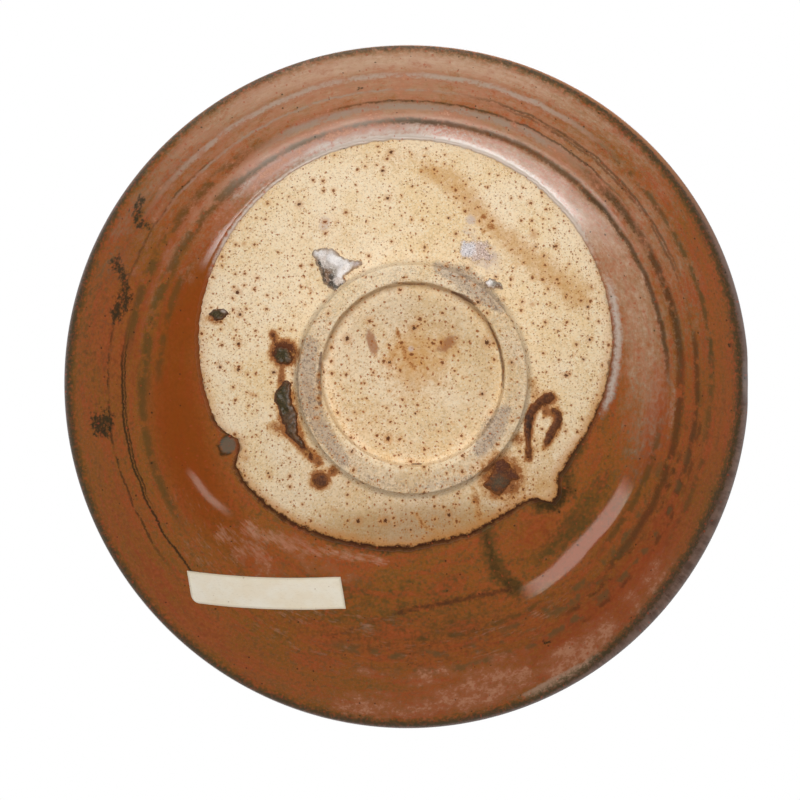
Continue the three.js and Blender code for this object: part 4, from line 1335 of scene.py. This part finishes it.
def make_floor():
    """A real floor to a camera above it. One below looks through it, and its lamps shine through too:
    whatever has passed the floor's back once meets no floor again.
    """
    half = 6.0
    mesh = bpy.data.meshes.new("floor")
    corners = [(-half, -half, 0), (half, -half, 0), (half, half, 0), (-half, half, 0)]
    mesh.from_pydata(corners, [], [(0, 1, 2, 3)])
    floor = bpy.data.objects.new("floor", mesh)
    bpy.context.scene.collection.objects.link(floor)
    paint = Finish("floor_paper")
    passed = paint.add("LightPath").outputs["Transparent Depth"]
    back = paint.add("NewGeometry").outputs["Backfacing"]
    seen = paint.math("LESS_THAN", paint.math("ADD", passed, back), 0.5)
    tone = paint.mix(paint.noise(paint.place, 60, 4), (232, 231, 229), (238, 237, 235))
    matt = paint.add("BsdfDiffuse", {"Color": tone}).outputs[0]
    clear = paint.add("BsdfTransparent").outputs[0]
    mesh.materials.append(paint.show(paint.add("MixShader", {0: seen, 1: clear, 2: matt})))


# Strength of the room's light by how far up it comes from, -1 straight below to 1 straight above
ROOM = [(-1.0, 0.06), (0.1, 0.12), (0.3, 0.8), (0.7, 0.8), (0.86, 0.3), (1.0, 0.1)]
WHITE = (255, 255, 255)


def make_world():
    """White to the camera. Otherwise pale above, save straight above, and dim below."""
    world = bpy.data.worlds.new("room")
    bpy.context.scene.world = world
    world.use_nodes = True
    world.node_tree.nodes.clear()
    room = Nodes(world.node_tree)
    way = room.add("SeparateXYZ", {0: room.add("TexCoord").outputs["Generated"]})
    level = room.add("FloatCurve", {"Value": room.math("MULTIPLY_ADD", way.outputs["Z"], 0.5, 0.5)})
    curve = level.mapping.curves[0]
    curve.points[0].location = (0, ROOM[0][1])
    for height, strength in ROOM[1:]:
        # A point is put in at the middle and then moved, so that the curve's own last one stays.
        curve.points.new(0.5, strength).location = ((height + 1) / 2, strength)
    level.mapping.update()
    pale = room.add("Background", {"Color": WHITE, "Strength": level.outputs[0]}).outputs[0]
    white = room.add("Background", {"Color": WHITE}).outputs[0]
    to_camera = room.add("LightPath").outputs["Is Camera Ray"]
    shown = room.add("MixShader", {0: to_camera, 1: pale, 2: white})
    room.add("OutputWorld", {"Surface": shown.outputs[0]})


def fade_lamp(lamp, soft):
    """Dims a lamp towards its edges, as a softbox does."""
    lamp.use_nodes = True
    glow = Nodes(lamp.node_tree)
    place = glow.add("SeparateXYZ", {0: glow.add("NewGeometry").outputs["Parametric"]})
    strengths = []
    for axis, share in enumerate(soft):
        off = glow.math("ABSOLUTE", glow.math("SUBTRACT", place.outputs[axis], 0.5))
        strengths.append(glow.step(off, 0.5, 0.5 * (1 - share)))
    glow.feed(glow.tree.nodes["Emission"].inputs["Strength"], glow.times(*strengths))


def add_lamp(name, bearing, off_axis, distance, size, radiance, above=False, roll=0.0, soft=None,
             tint=(1.0, 1.0, 1.0)):
    """A softbox that faces the bowl. off_axis is its angle from straight below, or straight above. soft is
    the share of its half length and half width over which it fades towards its edges.
    """
    flat = direction(bearing) * math.sin(math.radians(off_axis))
    height = math.cos(math.radians(off_axis)) * (1 if above else -1)
    way = Vector((flat[0], flat[1], height))
    lamp = bpy.data.lights.new(name, "AREA")
    lamp.shape = "RECTANGLE"
    lamp.size, lamp.size_y = size
    lamp.energy = radiance * math.pi * size[0] * size[1]
    lamp.color = tint
    if soft:
        fade_lamp(lamp, soft)
    holder = bpy.data.objects.new(name, lamp)
    holder.location = way * distance + Vector((0, 0, 0.03))
    rolled = Quaternion((0, 0, 1), math.radians(roll))
    holder.rotation_euler = (way.to_track_quat("Z", "Y") @ rolled).to_euler()
    holder.visible_camera = False
    bpy.context.scene.collection.objects.link(holder)


def make_lamps():
    warm, sandy = (1.0, 0.97, 0.94), (1.0, 0.93, 0.82)
    add_lamp("front_fill", 152, 8, 1.9, (1.3, 1.3), 5.75)
    add_lamp("key_core", -64, 73.3, 1.4, (1.35, 0.18), 12.5, roll=-5.4, soft=(0.6, 0.9))
    add_lamp("key_glow", -60, 76.6, 1.4, (1.8, 0.27), 4.4, roll=-3, soft=(0.8, 0.8), tint=warm)
    add_lamp("top_sheet", -108, 77.5, 1.9, (1.9, 0.5), 3.2, soft=(0.7, 0.9))
    add_lamp("left_edge", -132, 71.6, 1.6, (1.0, 0.09), 7.5, roll=5, soft=(0.6, 0.7))
    add_lamp("right_strip", 40, 71.9, 1.6, (1.08, 0.155), 3.3, roll=-4, soft=(0.3, 0.2), tint=sandy)
    add_lamp("left_strip", 152, 67.0, 1.6, (0.46, 0.075), 2.7, roll=22, soft=(0.6, 0.6), tint=sandy)
    add_lamp("upper_key", -70, 40, 2.2, (1.4, 1.0), 2.9, above=True)
    add_lamp("upper_fill", 120, 30, 2.4, (1.6, 1.6), 1.5, above=True)


def make_camera():
    data = bpy.data.cameras.new("camera")
    data.lens = FOCAL_PIXELS * SENSOR / PHOTO_SIZE
    data.sensor_width = SENSOR
    data.clip_start, data.clip_end = 0.01, 50
    camera = bpy.data.objects.new("camera", data)
    right, up, ahead = camera_axes()
    camera.rotation_mode = "QUATERNION"
    axes = Matrix([[right[i], up[i], -ahead[i]] for i in range(3)])
    camera.rotation_quaternion = axes.to_quaternion()
    camera.location = CAMERA * MM
    bpy.context.scene.collection.objects.link(camera)
    bpy.context.scene.camera = camera


make_camera()
make_floor()
make_world()
make_lamps()
make_body(clay_material())
make_outer_glaze(glaze_material("iron_red_glaze", True))
make_inner_glaze(glaze_material("iron_red_glaze_inside", False))
make_drops()
make_label(paper_material())
bpy.context.scene.view_settings.view_transform = "Standard"
